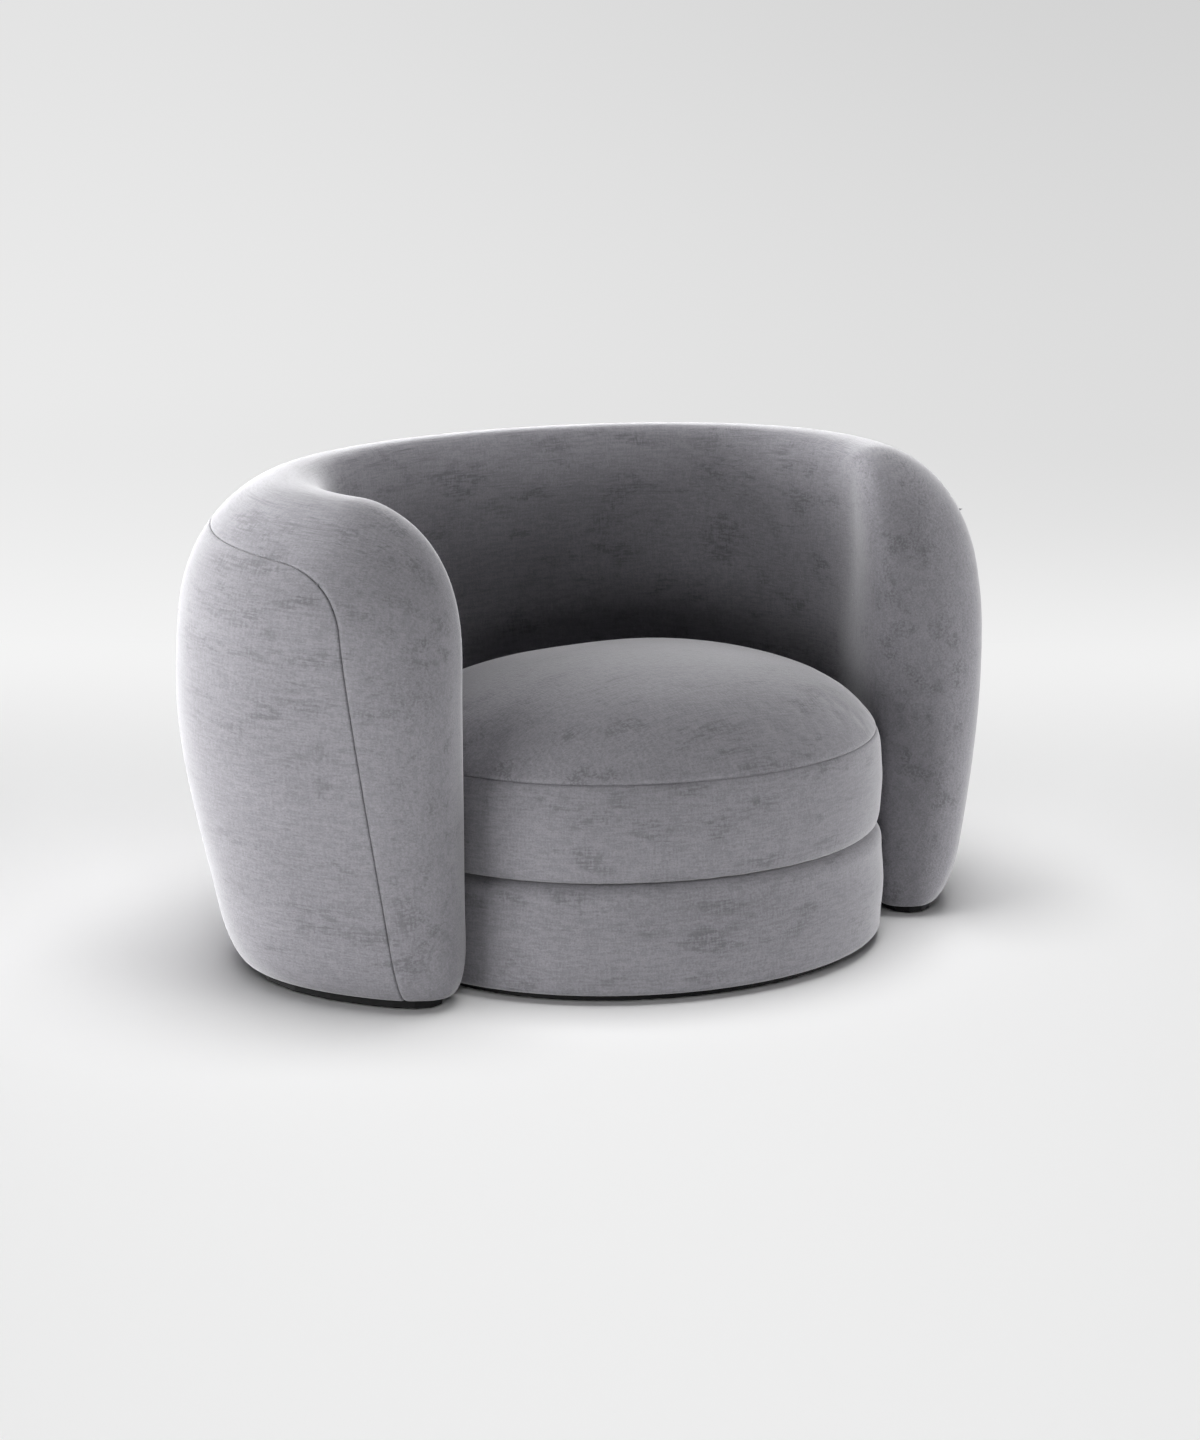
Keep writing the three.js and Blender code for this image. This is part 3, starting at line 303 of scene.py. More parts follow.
def sewn_mesh(name, grids):
    """One mesh from several grids of (points, nap coordinates, turned). Points that coincide are
    joined, and the nap coordinates stay with the corners of the faces, so that they may differ on
    the two sides of a seam."""
    points, nap, faces, first = [], [], [], 0
    for grid, coordinate, turned in grids:
        rows, columns = grid.shape[:2]
        faces.append(grid_faces(rows, columns, first, turned))
        points.append(grid.reshape(-1, 3))
        nap.append(coordinate.reshape(-1, 3))
        first += rows * columns
    points, nap, faces = (np.concatenate(part) for part in (points, nap, faces))
    mesh = bpy.data.meshes.new(name)
    mesh.vertices.add(len(points))
    mesh.vertices.foreach_set("co", points.astype(np.float32).ravel())
    mesh.loops.add(faces.size)
    mesh.loops.foreach_set("vertex_index", faces.astype(np.int32).ravel())
    mesh.polygons.add(len(faces))
    mesh.polygons.foreach_set("loop_start", np.arange(0, faces.size, 4, dtype=np.int32))
    mesh.update(calc_edges=True)
    layer = mesh.attributes.new("nap", "FLOAT_VECTOR", "CORNER")
    layer.data.foreach_set("vector", nap[faces.ravel()].astype(np.float32).ravel())
    sewn = bmesh.new()
    sewn.from_mesh(mesh)
    bmesh.ops.remove_doubles(sewn, verts=sewn.verts, dist=SEWN_WITHIN)
    sewn.to_mesh(mesh)
    sewn.free()
    mesh.polygons.foreach_set("use_smooth", np.ones(len(mesh.polygons), bool))
    mesh.update()
    return mesh


def add_object(mesh):
    made = bpy.data.objects.new(mesh.name, mesh)
    bpy.context.scene.collection.objects.link(made)
    return made


def add_piece(mesh, material, body, slot, *replaced):
    """Puts a mesh in the scene as a piece of the chair that stands for some of its solids, or for
    none."""
    piece = add_object(mesh)
    mesh.materials.append(bpy.data.materials[material])
    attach(piece, body)
    if replaced:
        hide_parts(*replaced)
    return piece


def velvet_cover(mesh, body, thickness, fill, *replaced):
    """A padded cover in velvet, with its thickness on the side of the padding if it has one."""
    piece = add_piece(mesh, "Velvet", body, "velvet", *replaced)
    thicken(piece, thickness) if thickness else piece


def thicken(piece, thickness):
    """Gives a cover its thickness, on the side of the padding."""
    solidify = piece.modifiers.new("Cloth thickness", "SOLIDIFY")
    solidify.thickness = thickness
    solidify.offset = -1
    return piece


def coordinates(mesh):
    flat = np.empty(len(mesh.vertices) * 3, np.float32)
    mesh.vertices.foreach_get("co", flat)
    return flat.reshape(-1, 3).astype(float)


def set_coordinates(mesh, points):
    mesh.vertices.foreach_set("co", points.astype(np.float32).ravel())
    mesh.update()


def distance_to_line(points, line):
    """Distance from each point to a line of short straight runs: the nearest of its corners is
    found first, and then the shorter distance to the two runs that meet there."""
    flat = points.reshape(-1, 3)
    squares = (line**2).sum(1) - 2 * flat @ line.T
    near = squares.argmin(1)
    best = np.full(len(flat), np.inf)
    for step in (-1, 0):
        run = np.clip(near + step, 0, len(line) - 2)
        along = line[run + 1] - line[run]
        share = np.clip(((flat - line[run]) * along).sum(1) / (along**2).sum(1), 0, 1)
        best = np.minimum(best, np.linalg.norm(flat - line[run] - share[:, None] * along, axis=1))
    return best.reshape(points.shape[:-1])


def seam_dip(distance, depth, width):
    """How far cloth dips at this distance from a seam: a quarter of an ellipse, steep at the seam
    itself."""
    near = np.clip(1 - distance / width, 0, 1)
    return depth * (1 - np.sqrt(1 - near**2))


def padding(points, cloth):
    """Slow unevenness of hand-laid padding: a sum of a few sine waves that run in different
    directions."""
    waves = np.array([[19, 4, 9, 0.3], [-8, 11, 17, 1.9], [31, -6, -12, 4.2], [5, 23, 27, 2.6]])
    heights = np.sin(points @ waves[:, :3].T + waves[:, 3])
    return cloth.unevenness * heights.mean(-1)


def upholster(mesh, from_seam, cloth, width):
    """Lets a cover swell and sink with its padding, and dip this far on each side of its seam."""
    grow(mesh, padding(coordinates(mesh), cloth) - seam_dip(from_seam, cloth.seam_depth, width))


# The shell's surface


class Shell:
    """The surface of the shell's cover, as a function of the distance a along the wall's plan from
    the middle of the back, the height h above the cover's lowest edge and the side of the wall."""

    def __init__(self, sizes, plan_steps=4000, ease_steps=50):
        """The plan is half a squarish ellipse, x = width sin(t)^(2/n) and y = depth cos(t)^(2/n),
        and then an arm that curls in with the square of the distance along it and runs straight on
        past its end. Its direction is tabled by its own length, averaged over a short run so that
        it turns smoothly, and added up again to places."""
        self.sizes = sizes
        back = sizes.back_depth + sizes.half_width
        run = np.linspace(0, back + sizes.arm_length, plan_steps + 1)
        turn = np.minimum(run / back, 1) * np.pi / 2
        arm = np.maximum(run - back, 0) / sizes.arm_length
        power = 2 / sizes.plan_exponent
        width = sizes.half_width * np.sin(turn) ** power
        x = np.where(arm > 0, sizes.half_width - sizes.arm_curl * arm**2, width)
        depth = sizes.back_depth * np.maximum(np.cos(turn), 0) ** power
        y = np.where(arm > 0, -sizes.arm_length * arm, depth)
        along = np.concatenate([[0], np.cumsum(np.hypot(np.diff(x), np.diff(y)))])
        self.half = along[-1]

        step = sizes.plan_ease / ease_steps
        self.along = np.arange(0, self.half + 2 * sizes.arm_nose, step)
        middles = (along[1:] + along[:-1]) / 2
        average = np.full(ease_steps + 1, 1 / (ease_steps + 1))
        heading = []
        for table, parity in ((x, 1), (y, -1)):
            slope = np.interp(self.along, middles, np.diff(table) / np.diff(along))
            slope[0] = max(parity, 0)
            both = np.concatenate([parity * slope[:0:-1], slope, np.full(2 * ease_steps, slope[-1])])
            both = np.convolve(np.convolve(both, average, "same"), average, "same")
            heading.append(both[len(slope) - 1 : 2 * len(slope) - 1])
        self.heading = heading / np.hypot(*heading)
        runs = (self.heading[:, 1:] + self.heading[:, :-1]) / 2 * step
        self.x, self.y = (np.concatenate([[0], np.cumsum(run)]) for run in runs)
        self.y += sizes.back_depth
        self.sheet_top = sizes.height - sizes.roll_height

    def plan(self, a):
        """Place and outward direction on the plan."""
        side, distance = np.sign(a), np.abs(a)
        x, y, east, north = (
            np.interp(distance, self.along, table) for table in (self.x, self.y, *self.heading)
        )
        return x * side, y, -north * side, east

    def rise(self, z):
        return np.clip((z - self.sizes.foot) / (self.sheet_top - self.sizes.foot), 0, 1)

    def swing(self, a):
        """A cosine that is 1 at the middle of the back and comes gently to 0 at the arms' ends."""
        ease = self.sizes.arm_ease
        rest = ease * np.logaddexp(0, (1 - np.abs(a) / self.half) / ease)
        return np.sin(np.minimum(rest, 1) * np.pi / 2)

    def roll_foot(self, a):
        s = self.sizes
        share = np.minimum(np.abs(a) / (self.half - s.nose_corner), 1)
        return self.sheet_top - s.roll_drop * share**2

    def offset(self, a, z, side, draw_in):
        """Distance of the wall's face from the plan. Outset and inset each follow a parabola
        through three heights. Over the roll and the arm's nose the half thickness falls off as (1 -
        share^n)^(1/n)."""
        s = self.sizes
        up = self.rise(z)

        def through(foot, middle, top):
            return foot * (1 - up) * (1 - 2 * up) + 4 * middle * up * (1 - up) + top * up * (2 * up - 1)

        outset = through(s.outset_foot, s.outset_middle, s.outset_top) + self.swell(a, z)
        inset = through(s.inset_foot, s.inset_middle, s.inset_top)
        half = (outset + inset) / 2 - s.back_thinning * self.swing(a) ** 2 - draw_in
        along = np.maximum(np.abs(a) - self.half + s.nose_corner, 0)
        above = np.maximum(z - self.roll_foot(a) + s.nose_corner, 0)
        distance = np.hypot(along, above)
        upward = (above / np.maximum(distance, TINY)) ** 2
        reach = (s.arm_nose - draw_in) * (1 - upward) + s.roll_height * upward
        on_nose = np.where(side < 0, 1 - upward, 0)
        lead = s.nose_lead * on_nose
        power = blend_values(s.roll_exponent, s.nose_exponent, on_nose)
        over = np.clip((distance - s.nose_corner + lead) / (reach + lead), 0, 1) ** power
        fall = np.maximum(1 - over, 0) ** (1 / power)
        half = half + np.where(side < 0, self.fill(a, z), 0)
        return (outset - inset) / 2 + side * half * fall - s.ridge_inward * upward * over

    def fill(self, a, z):
        """Extra padding on the inside: in the roll round the rear corner, and down the arm's front."""
        s = self.sizes
        back = self.half - np.abs(a)
        high = smooth(np.clip((z - s.roll_fill_low) / (s.roll_fill_high - s.roll_fill_low), 0, 1))
        roll = s.roll_fill * window(back, s.roll_fill_place, s.roll_fill_place) * high
        return roll + s.arm_fill * window(back, s.arm_fill_place, s.arm_fill_reach)

    def swell(self, a, z):
        """The outside swells round the rear corners below the roll, and is slimmer at the arms'
        fronts."""
        s = self.sizes
        corner = window(np.abs(a), s.side_swell_place, s.side_swell_reach)
        high = window(z, s.side_swell_height, s.side_swell_rise)
        front = smooth(np.clip(1 - (self.half - np.abs(a)) / s.arm_slimming_reach, 0, 1))
        return s.side_swell * corner * high - s.arm_slimming * front

    def draw_in(self, h):
        """The foot rounds in by a quarter of an ellipse, and below its lowest edge the hem is
        turned in flat."""
        low = np.clip(1 - h / self.sizes.foot_round_height, 0, 1)
        return self.sizes.foot_round_width * (1 - np.sqrt(1 - low**2)) + np.maximum(-h, 0)

    def point(self, a, h, side):
        """Place on the surface, and its nap coordinates, which are the wall laid out straight."""
        s = self.sizes
        a, h, side = np.broadcast_arrays(a, h, side)
        z = s.foot + np.maximum(h, 0)
        offset = self.offset(a, z, side, self.draw_in(h))
        x, y, outward_x, outward_y = self.plan(a)
        lean = s.back_top_offset * self.rise(z) * self.swing(a)
        place = [x + outward_x * offset, y + outward_y * offset + lean + s.centre_y, z]
        return np.stack(place, -1), np.stack([a, offset, z], -1)

    def arch(self, rows=(5, 12, 64), corner=26, along=96, crowding=1.7):
        """Stations on the seam and on the edge of the inside's plain face: up an arm's front, round
        its corner and along the roll to the middle of the back, and the same on the other side.
        They lie closer near the corner."""
        s = self.sizes
        top_height = s.height - s.foot - s.seam_below_top

        def seam_top(a):
            return top_height - s.seam_drop * (a / self.half) ** 2

        def seam_front(h):
            up = np.maximum(h, 0) / top_height
            straight = blend_values(s.seam_ahead_foot, -s.seam_behind_top, up)
            bow = 4 * s.seam_bow * up * (1 - up) * (1 + s.seam_bow_low * (1 - 2 * up))
            return self.half + straight + bow

        sharp = seam_front(top_height)
        seam_corner = seam_top(sharp) - s.seam_corner
        edge_corner = self.roll_foot(self.half) - s.foot - s.nose_corner
        hem = np.linspace(-s.hem, 0, rows[0], endpoint=False)
        quarter = np.linspace(0, np.pi / 2, rows[1], endpoint=False)
        foot = np.concatenate([hem, s.foot_round_height * (1 - np.cos(quarter))])
        climb = np.linspace(0, 1, rows[2])
        seam_h = np.concatenate([foot, blend_values(s.foot_round_height, seam_corner, climb)])
        edge_h = np.concatenate([foot, blend_values(s.foot_round_height, edge_corner, climb)])
        seam_a, edge_a = seam_front(seam_h), np.full_like(edge_h, self.half)
        turn = np.zeros_like(edge_h)

        share = np.linspace(0, 1, corner + 1)[1:]
        share = np.concatenate([1 - (1 - share) ** crowding, 1 + share**crowding]) / 2
        end = sharp - s.seam_corner
        bend_a = (1 - share) ** 2 * seam_front(seam_corner)
        bend_a += 2 * share * (1 - share) * sharp + share**2 * end
        bend_h = (1 - share) ** 2 * seam_corner
        bend_h += 2 * share * (1 - share) * seam_top(sharp) + share**2 * seam_top(end)
        bend_turn = share * np.pi / 2

        back = np.linspace(1, 0, along + 1)[1:]
        edge_back = (self.half - s.nose_corner) * back
        seam_a = np.concatenate([seam_a, bend_a, end * back])
        seam_h = np.concatenate([seam_h, bend_h, seam_top(end * back)])
        edge_a = np.concatenate([edge_a, self.half - s.nose_corner * (1 - np.cos(bend_turn)), edge_back])
        rolled = self.roll_foot(edge_back) - s.foot
        edge_h = np.concatenate([edge_h, edge_corner + s.nose_corner * np.sin(bend_turn), rolled])
        turn = np.concatenate([turn, bend_turn, np.full_like(back, np.pi / 2)])
        self.rows_up = sum(rows) + corner - 1

        def both(values, sign):
            return np.concatenate([sign * values, values[-2::-1]])

        self.seam = both(seam_a, -1), both(seam_h, 1)
        self.edge = both(edge_a, -1), both(edge_h, 1)
        self.turn = both(turn, 1)

    def panel(self, line, side):
        """A plain face inside the arch: heights are shared out between the foot's rounding and the
        arch's top, and distances along the plan between its two fronts."""
        a, h = line
        foot, up_to = self.sizes.foot_round_height, self.rows_up
        top_a, top_h = a[up_to : len(a) - up_to], h[up_to : len(h) - up_to]
        left_a, left_h = a[: up_to + 1, None], h[: up_to + 1, None]
        right_a = a[::-1][: up_to + 1, None]
        across = (top_a - top_a[0]) / (top_a[-1] - top_a[0])
        up = np.maximum((left_h - foot) / (top_h[0] - foot), 0)
        heights = np.where(up > 0, blend_values(foot, top_h, up), left_h)
        return self.point(blend_values(left_a, right_a, across), heights, side)

    def band(self, outside=40, inside=50, crowding=1.6):
        """The rounded band from the seam to the ridge and on to the edge of the inside's plain
        face. Its steps follow the sine of a quarter turn, so that they are short where it bends
        most, and start short at the seam."""
        s = self.sizes
        edge_a, edge_h = np.abs(self.edge[0])[:, None], self.edge[1][:, None]
        seam_a, seam_h = np.abs(self.seam[0])[:, None], self.seam[1][:, None]
        turn = self.turn[:, None]
        level, upright = np.cos(turn), np.sin(turn)
        reach = (s.arm_nose - self.draw_in(edge_h)) * level**2 + s.roll_height * upright**2
        ridge_a, ridge_h = edge_a + reach * level, edge_h + reach * upright
        rising = np.sin(np.linspace(0, 1, outside, endpoint=False) ** crowding * np.pi / 2)
        falling = np.cos(np.linspace(0, np.pi / 2, inside + 1))
        a = np.concatenate(
            [blend_values(seam_a, ridge_a, rising), blend_values(edge_a, ridge_a, falling)], axis=1
        )
        h = np.concatenate(
            [blend_values(seam_h, ridge_h, rising), blend_values(edge_h, ridge_h, falling)], axis=1
        )
        sign = np.where(self.edge[0] < 0, -1, 1)[:, None]
        side = np.concatenate([np.ones(outside), -np.ones(inside + 1)])
        return self.point(sign * a, h, side)


# The seat's surfaces


class Seat:
    """Surfaces that turn round the seat's upright axis. The plan is an ellipse in front and a
    squarer one behind."""

    def __init__(self, sizes, around=288):
        self.sizes = sizes
        self.squash = sizes.half_depth / sizes.half_width
        self.around = np.linspace(0, 2 * np.pi, around + 1)
        self.cushion_foot = sizes.drum_height + sizes.cushion_gap
        self.seam_z = sizes.drum_height + sizes.cushion_border
        self.cushion_edge = sizes.half_width - sizes.cushion_tuck

    def turned(self, radius, z):
        """A profile of radii and heights carried round the axis. Behind the middle line each point
        moves out by hypot(x, y) / (x^n + y^n)^(1/n)."""
        s = self.sizes
        radius, z = np.atleast_1d(radius)[:, None], np.atleast_1d(z)[:, None]
        angle = self.around[None, :] + np.pi / 2
        x, y = radius * np.cos(angle), radius * np.sin(angle)
        size = np.hypot(x, y)
        behind = np.maximum(y, 0)
        powers = (np.abs(x) ** s.rear_exponent + behind**s.rear_exponent) ** (1 / s.rear_exponent)
        fuller = np.where(y > 0, size / np.maximum(powers, TINY), 1)
        place = [x * fuller, y * fuller * self.squash + s.middle, z + 0 * x]
        nap = [s.half_width * angle + 0 * x, radius + 0 * x, z + 0 * x]
        return np.stack(place, -1), np.stack(nap, -1)

    def drum_profile(self, hem_rings=5, round_rings=12, wall_rings=38):
        """From the hem under the foot, round the foot, up a wall that swells by the square of a
        sine, and over the rounded top to the hem on top."""
        s = self.sizes
        radius = s.half_width - s.drum_setback
        quarter = np.linspace(0, np.pi / 2, round_rings + 1)
        hem = radius - s.drum_round_foot - np.linspace(s.drum_foot_hem, 0, hem_rings + 1, endpoint=False)
        foot_r = radius - s.drum_round_foot * (1 - np.sin(quarter))
        foot_z = s.drum_foot + s.drum_round_foot * (1 - np.cos(quarter))
        wall = np.linspace(0, 1, wall_rings + 2)[1:-1]
        low, high = s.drum_foot + s.drum_round_foot, s.drum_height - s.drum_round_top
        wall_r = radius + s.drum_bulge * np.sin(np.pi * wall) ** 2
        top_r = radius - s.drum_round_top * (1 - np.cos(quarter))
        top_z = high + s.drum_round_top * np.sin(quarter)
        inner = radius - s.drum_round_top - np.linspace(0, s.drum_hem, hem_rings + 1)[1:]
        radii = np.concatenate([hem, foot_r, wall_r, top_r, inner])
        wall_z = blend_values(low, high, wall)
        under, over = np.full_like(hem, s.drum_foot), np.full_like(inner, s.drum_height)
        return radii, np.concatenate([under, foot_z, wall_z, top_z, over])

    def border_radius(self, z):
        """The border swells between its two edges by a power of a sine."""
        s = self.sizes
        share = np.clip((z - self.cushion_foot) / (self.seam_z - self.cushion_foot), 0, 1)
        return self.cushion_edge + s.cushion_tuck * np.sin(share * np.pi) ** s.border_fullness

    def cushion_profile(self, rings=(21, 56, 89), base_crowding=0.8, crowding=1.5):
        """Flat base, swollen border, and a crown that rises in a quarter of an ellipse. Steps are
        short at the seam. Gives radii, heights and the distance along the profile from the seam."""
        base = np.linspace(0, 1, rings[0] + 1)[:-1] ** base_crowding * self.cushion_edge
        share = np.linspace(0, 1, rings[1])
        border_z = blend_values(self.cushion_foot, self.seam_z, 1 - (1 - share) ** crowding)
        turn = np.linspace(0, 1, rings[2] + 1)[1:] ** crowding * np.pi / 2
        radii = np.concatenate([base, self.border_radius(border_z), self.cushion_edge * np.cos(turn)])
        crown_z = self.seam_z + self.sizes.cushion_crown * np.sin(turn)
        heights = np.concatenate([np.full_like(base, self.cushion_foot), border_z, crown_z])
        radii[-1] = 0
        steps = np.hypot(np.diff(radii), np.diff(heights))
        along = np.concatenate([[0], np.cumsum(steps)])
        seam = len(base) + len(border_z) - 1
        return radii, heights, along - along[seam], len(base)


def grow(mesh, distance):
    """Moves every point of a closed mesh outwards along its own normal by its own distance."""
    normals = np.empty(len(mesh.vertices) * 3, np.float32)
    mesh.vertex_normals.foreach_get("vector", normals)
    moved = coordinates(mesh) + normals.reshape(-1, 3) * np.reshape(distance, (-1, 1))
    set_coordinates(mesh, moved)


def evaluated_copy(piece, name):
    """A new mesh of the piece as its modifiers leave it."""
    graph = bpy.context.evaluated_depsgraph_get()
    graph.update()
    mesh = bpy.data.meshes.new_from_object(piece.evaluated_get(graph))
    mesh.name = name
    return mesh


def past_zip(points):
    """How far points lie above or below the zip, and how far beside it."""
    middle, half = (zip_low.z + zip_high.z) / 2, (zip_high.z - zip_low.z) / 2
    return np.abs(points[:, 2] - middle) - half, np.abs(points[:, 0]) - zip_high.x


def filled_shape(mesh, seat, cloth, frames=20):
    """The cushion's cover after its filling swells it. An even mesh of the slightly smaller cover
    is blown up as cloth. The base, the seam and the zip hold it, and no point moves further than
    the cap."""
    body = bpy.data.objects.new("filling", mesh)
    bpy.context.scene.collection.objects.link(body)
    remesh = body.modifiers.new("Even mesh", "REMESH")
    remesh.mode = "VOXEL"
    remesh.voxel_size = cloth.filling_mesh
    body.data = evaluated_copy(body, "filling")
    body.modifiers.clear()
    before = coordinates(body.data)
    level = np.abs(before[:, 2] - seat.seam_z) < cloth.held_seam
    low = before[:, 2] < seat.cushion_foot + cloth.held_base
    tall, wide = past_zip(before)
    zipped = (tall < cloth.held_zip_above) & (wide < cloth.held_zip_beside)
    zipped &= before[:, 1] > seat.sizes.middle
    held = body.vertex_groups.new(name="held")
    held.add(np.flatnonzero(level | low | zipped).tolist(), 1, "REPLACE")
    sim = body.modifiers.new("Filling", "CLOTH")
    sim.settings.use_pressure = True
    sim.settings.uniform_pressure_force = cloth.filling_pressure
    sim.settings.effector_weights.gravity = 0
    sim.settings.vertex_group_mass = "held"
    sim.settings.bending_stiffness = cloth.filling_stiffness
    sim.collision_settings.use_collision = False
    sim.point_cache.frame_start, sim.point_cache.frame_end = 1, frames
    for step in range(1, frames + 1):
        bpy.context.scene.frame_set(step)
    after = coordinates(evaluated_copy(body, "filled"))
    bpy.context.scene.frame_set(1)
    body.modifiers.clear()
    moved = after - before
    size = np.linalg.norm(moved, axis=1, keepdims=True)
    capped = moved * np.minimum(1, cloth.filling_cap / np.maximum(size, TINY))
    set_coordinates(body.data, before + capped)
    smooth = body.modifiers.new("Smooth", "SUBSURF")
    smooth.levels = smooth.render_levels = 1
    body.data = evaluated_copy(body, "filled")
    body.modifiers.clear()
    return body


def lay_on(mesh, target):
    """Moves every point of the mesh to the nearest place on the target."""
    carrier = bpy.data.objects.new("carrier", mesh)
    bpy.context.scene.collection.objects.link(carrier)
    wrap = carrier.modifiers.new("Lay on", "SHRINKWRAP")
    wrap.target = target
    wrap.wrap_method = "NEAREST_SURFACEPOINT"
    set_coordinates(mesh, coordinates(evaluated_copy(carrier, "laid")))
    bpy.data.objects.remove(carrier)
    bpy.data.objects.remove(target)


# Finishes


def node(tree, kind, links=(), **values):
    """A shader node with its settings, its inputs by name or number, and the sockets that feed it."""
    made = tree.nodes.new(kind)
    for key, value in values.items():
        if key.startswith("set_"):
            setattr(made, key[4:], value)
        else:
            made.inputs[key.replace("_", " ")].default_value = value
    for socket, source in dict(links).items():
        tree.links.new(source, made.inputs[socket])
    return made


def math_node(tree, operation, first, second):
    made = tree.nodes.new("ShaderNodeMath")
    made.operation = operation
    for socket, value in zip(made.inputs, (first, second)):
        if isinstance(value, bpy.types.NodeSocket):
            tree.links.new(value, socket)
        else:
            socket.default_value = value
    return made.outputs[0]


def arithmetic(tree):
    """Two functions, which add and multiply two values in this tree."""
    return partial(math_node, tree, "ADD"), partial(math_node, tree, "MULTIPLY")


def stretched_noise(tree, vector, stretch, detail=4.0, distortion=0.0):
    """Noise whose cells are so many to the metre along each axis."""
    mapping = node(tree, "ShaderNodeMapping", {"Vector": vector}, Scale=stretch)
    made = node(
        tree,
        "ShaderNodeTexNoise",
        {"Vector": mapping.outputs[0]},
        Scale=1.0,
        Detail=detail,
        Roughness=0.6,
        Distortion=distortion,
    )
    return made.outputs["Fac"]


def band_pass(tree, value, low, high):
    """0 below low, 1 above high, and smooth between."""
    made = node(tree, "ShaderNodeMapRange", {"Value": value}, From_Min=low, From_Max=high)
    made.interpolation_type = "SMOOTHSTEP"
    return made.outputs["Result"]


def mix_colours(tree, share, first, second):
    made = tree.nodes.new("ShaderNodeMix")
    made.data_type = "RGBA"
    for socket, value in zip((made.inputs[0], made.inputs[6], made.inputs[7]), (share, first, second)):
        if isinstance(value, bpy.types.NodeSocket):
            tree.links.new(value, socket)
        else:
            socket.default_value = value
    return made.outputs[2]


def new_group(name, **inputs):
    """An empty shader node group and its two end nodes. An input is a vector, a colour or a number,
    and the group gives a colour, a roughness and a height."""
    group = bpy.data.node_groups.new(name, "ShaderNodeTree")

    def socket(name, way, kind):
        return group.interface.new_socket(name=name, in_out=way, socket_type="NodeSocket" + kind)

    for key, value in inputs.items():
        made = socket(key.replace("_", " "), "INPUT", value if isinstance(value, str) else "Float")
        if not isinstance(value, str):
            made.default_value = value
    for key, kind in (("Colour", "Color"), ("Roughness", "Float"), ("Height", "Float")):
        socket(key, "OUTPUT", kind)
    return group, group.nodes.new("NodeGroupInput"), group.nodes.new("NodeGroupOutput")


def join(tree, ends, values):
    for socket, value in values.items():
        tree.links.new(value, ends.inputs[socket])


def velvet_nap_group():
    """Velvet's pile. Short strokes along and across the cloth cover all of it faintly, and show darker
    in smudges where the pile has been brushed up. Longer streaks run along the roll. Its crest is
    painted lighter: a painted highlight where the top of the roll catches more light. A fine grain
    and a slow change of shade cover the rest. Each noise has its cells to the metre along the wall,
    out of it and up."""
    group, given, result = new_group(
        "Velvet nap", Nap="Vector", Colour="Color", Mark_Colour="Color", Mark_Amount=0.6, Streak_Height=0.55
    )
    add, times = arithmetic(group)
    nap, mark_amount = given.outputs["Nap"], given.outputs["Mark Amount"]
    noise = partial(stretched_noise, group, nap)

    along, across = noise((42, 290, 290), 3.0, 0.1), noise((280, 70, 70), 3.0, 0.1)
    strokes = band_pass(group, add(times(along, 0.6), times(across, 0.4)), 0.42, 0.58)
    smudges = band_pass(group, noise((10, 24, 24), 6.0, 0.2), 0.44, 0.66)
    marks = times(smudges, add(times(strokes, 0.72), 0.16))

    height = node(group, "ShaderNodeSeparateXYZ", {0: nap}).outputs["Z"]
    above = math_node(group, "SUBTRACT", height, given.outputs["Streak Height"])
    # The crest mask is a painted highlight: the top of the roll is made lighter where more light falls on
    # it
    on_roll, painted_crest_highlight = band_pass(group, above, 0.0, 0.07), band_pass(group, above, 0.04, 0.15)
    where = band_pass(group, noise((5, 20, 20), 2.0), 0.42, 0.6)
    streaks = band_pass(group, noise((13, 260, 260), 4.0, 0.3), 0.46, 0.68)
    streaks = times(times(streaks, where), times(on_roll, 0.8))
    marks = math_node(group, "MAXIMUM", math_node(group, "MAXIMUM", marks, streaks), times(strokes, 0.36))
    marked = mix_colours(
        group, times(marks, mark_amount), given.outputs["Colour"], given.outputs["Mark Colour"]
    )

    slow, grain = noise((5, 9, 9), 3.0), noise((380, 460, 460), 2.0)
    # The crest mask adds painted light here: the roll's top is painted lighter
    shade = add(add(times(slow, 0.3), times(grain, 0.7)), add(times(painted_crest_highlight, 0.34), 0.54))
    shaded = node(group, "ShaderNodeVectorMath", {0: marked, 1: shade}, set_operation="MULTIPLY")
    roughness = math_node(group, "SUBTRACT", 0.88, times(marks, 0.08))
    relief = math_node(group, "SUBTRACT", grain, times(strokes, 0.5))
    join(group, result, {"Colour": shaded.outputs[0], "Roughness": roughness, "Height": relief})
    return group


def wood_group():
    """Rotary-cut birch: long figure along the grain, finer pores in it, and thin dark glue lines
    where plies end."""
    group, given, result = new_group("Birch ply", Vector="Vector", Colour="Color", Figure_Colour="Color")
    add, times = arithmetic(group)
    vector = given.outputs["Vector"]
    figure = stretched_noise(group, vector, (3, 26, 9), 5.0, 1.2)
    pores = stretched_noise(group, vector, (30, 700, 300), 2.0)
    share = band_pass(group, figure, 0.42, 0.7)
    share = add(times(share, 0.55), times(pores, 0.2))
    plies = node(
        group, "ShaderNodeTexWave", {"Vector": vector}, Scale=110.0, Distortion=0.4, set_bands_direction="Z"
    )
    glue = times(band_pass(group, plies.outputs["Fac"], 0.86, 1.0), 0.3)
    share = add(share, glue)
    wood = mix_colours(group, share, given.outputs["Colour"], given.outputs["Figure Colour"])
    roughness = add(times(pores, 0.25), 0.5)
    join(group, result, {"Colour": wood, "Roughness": roughness, "Height": pores})
    return group


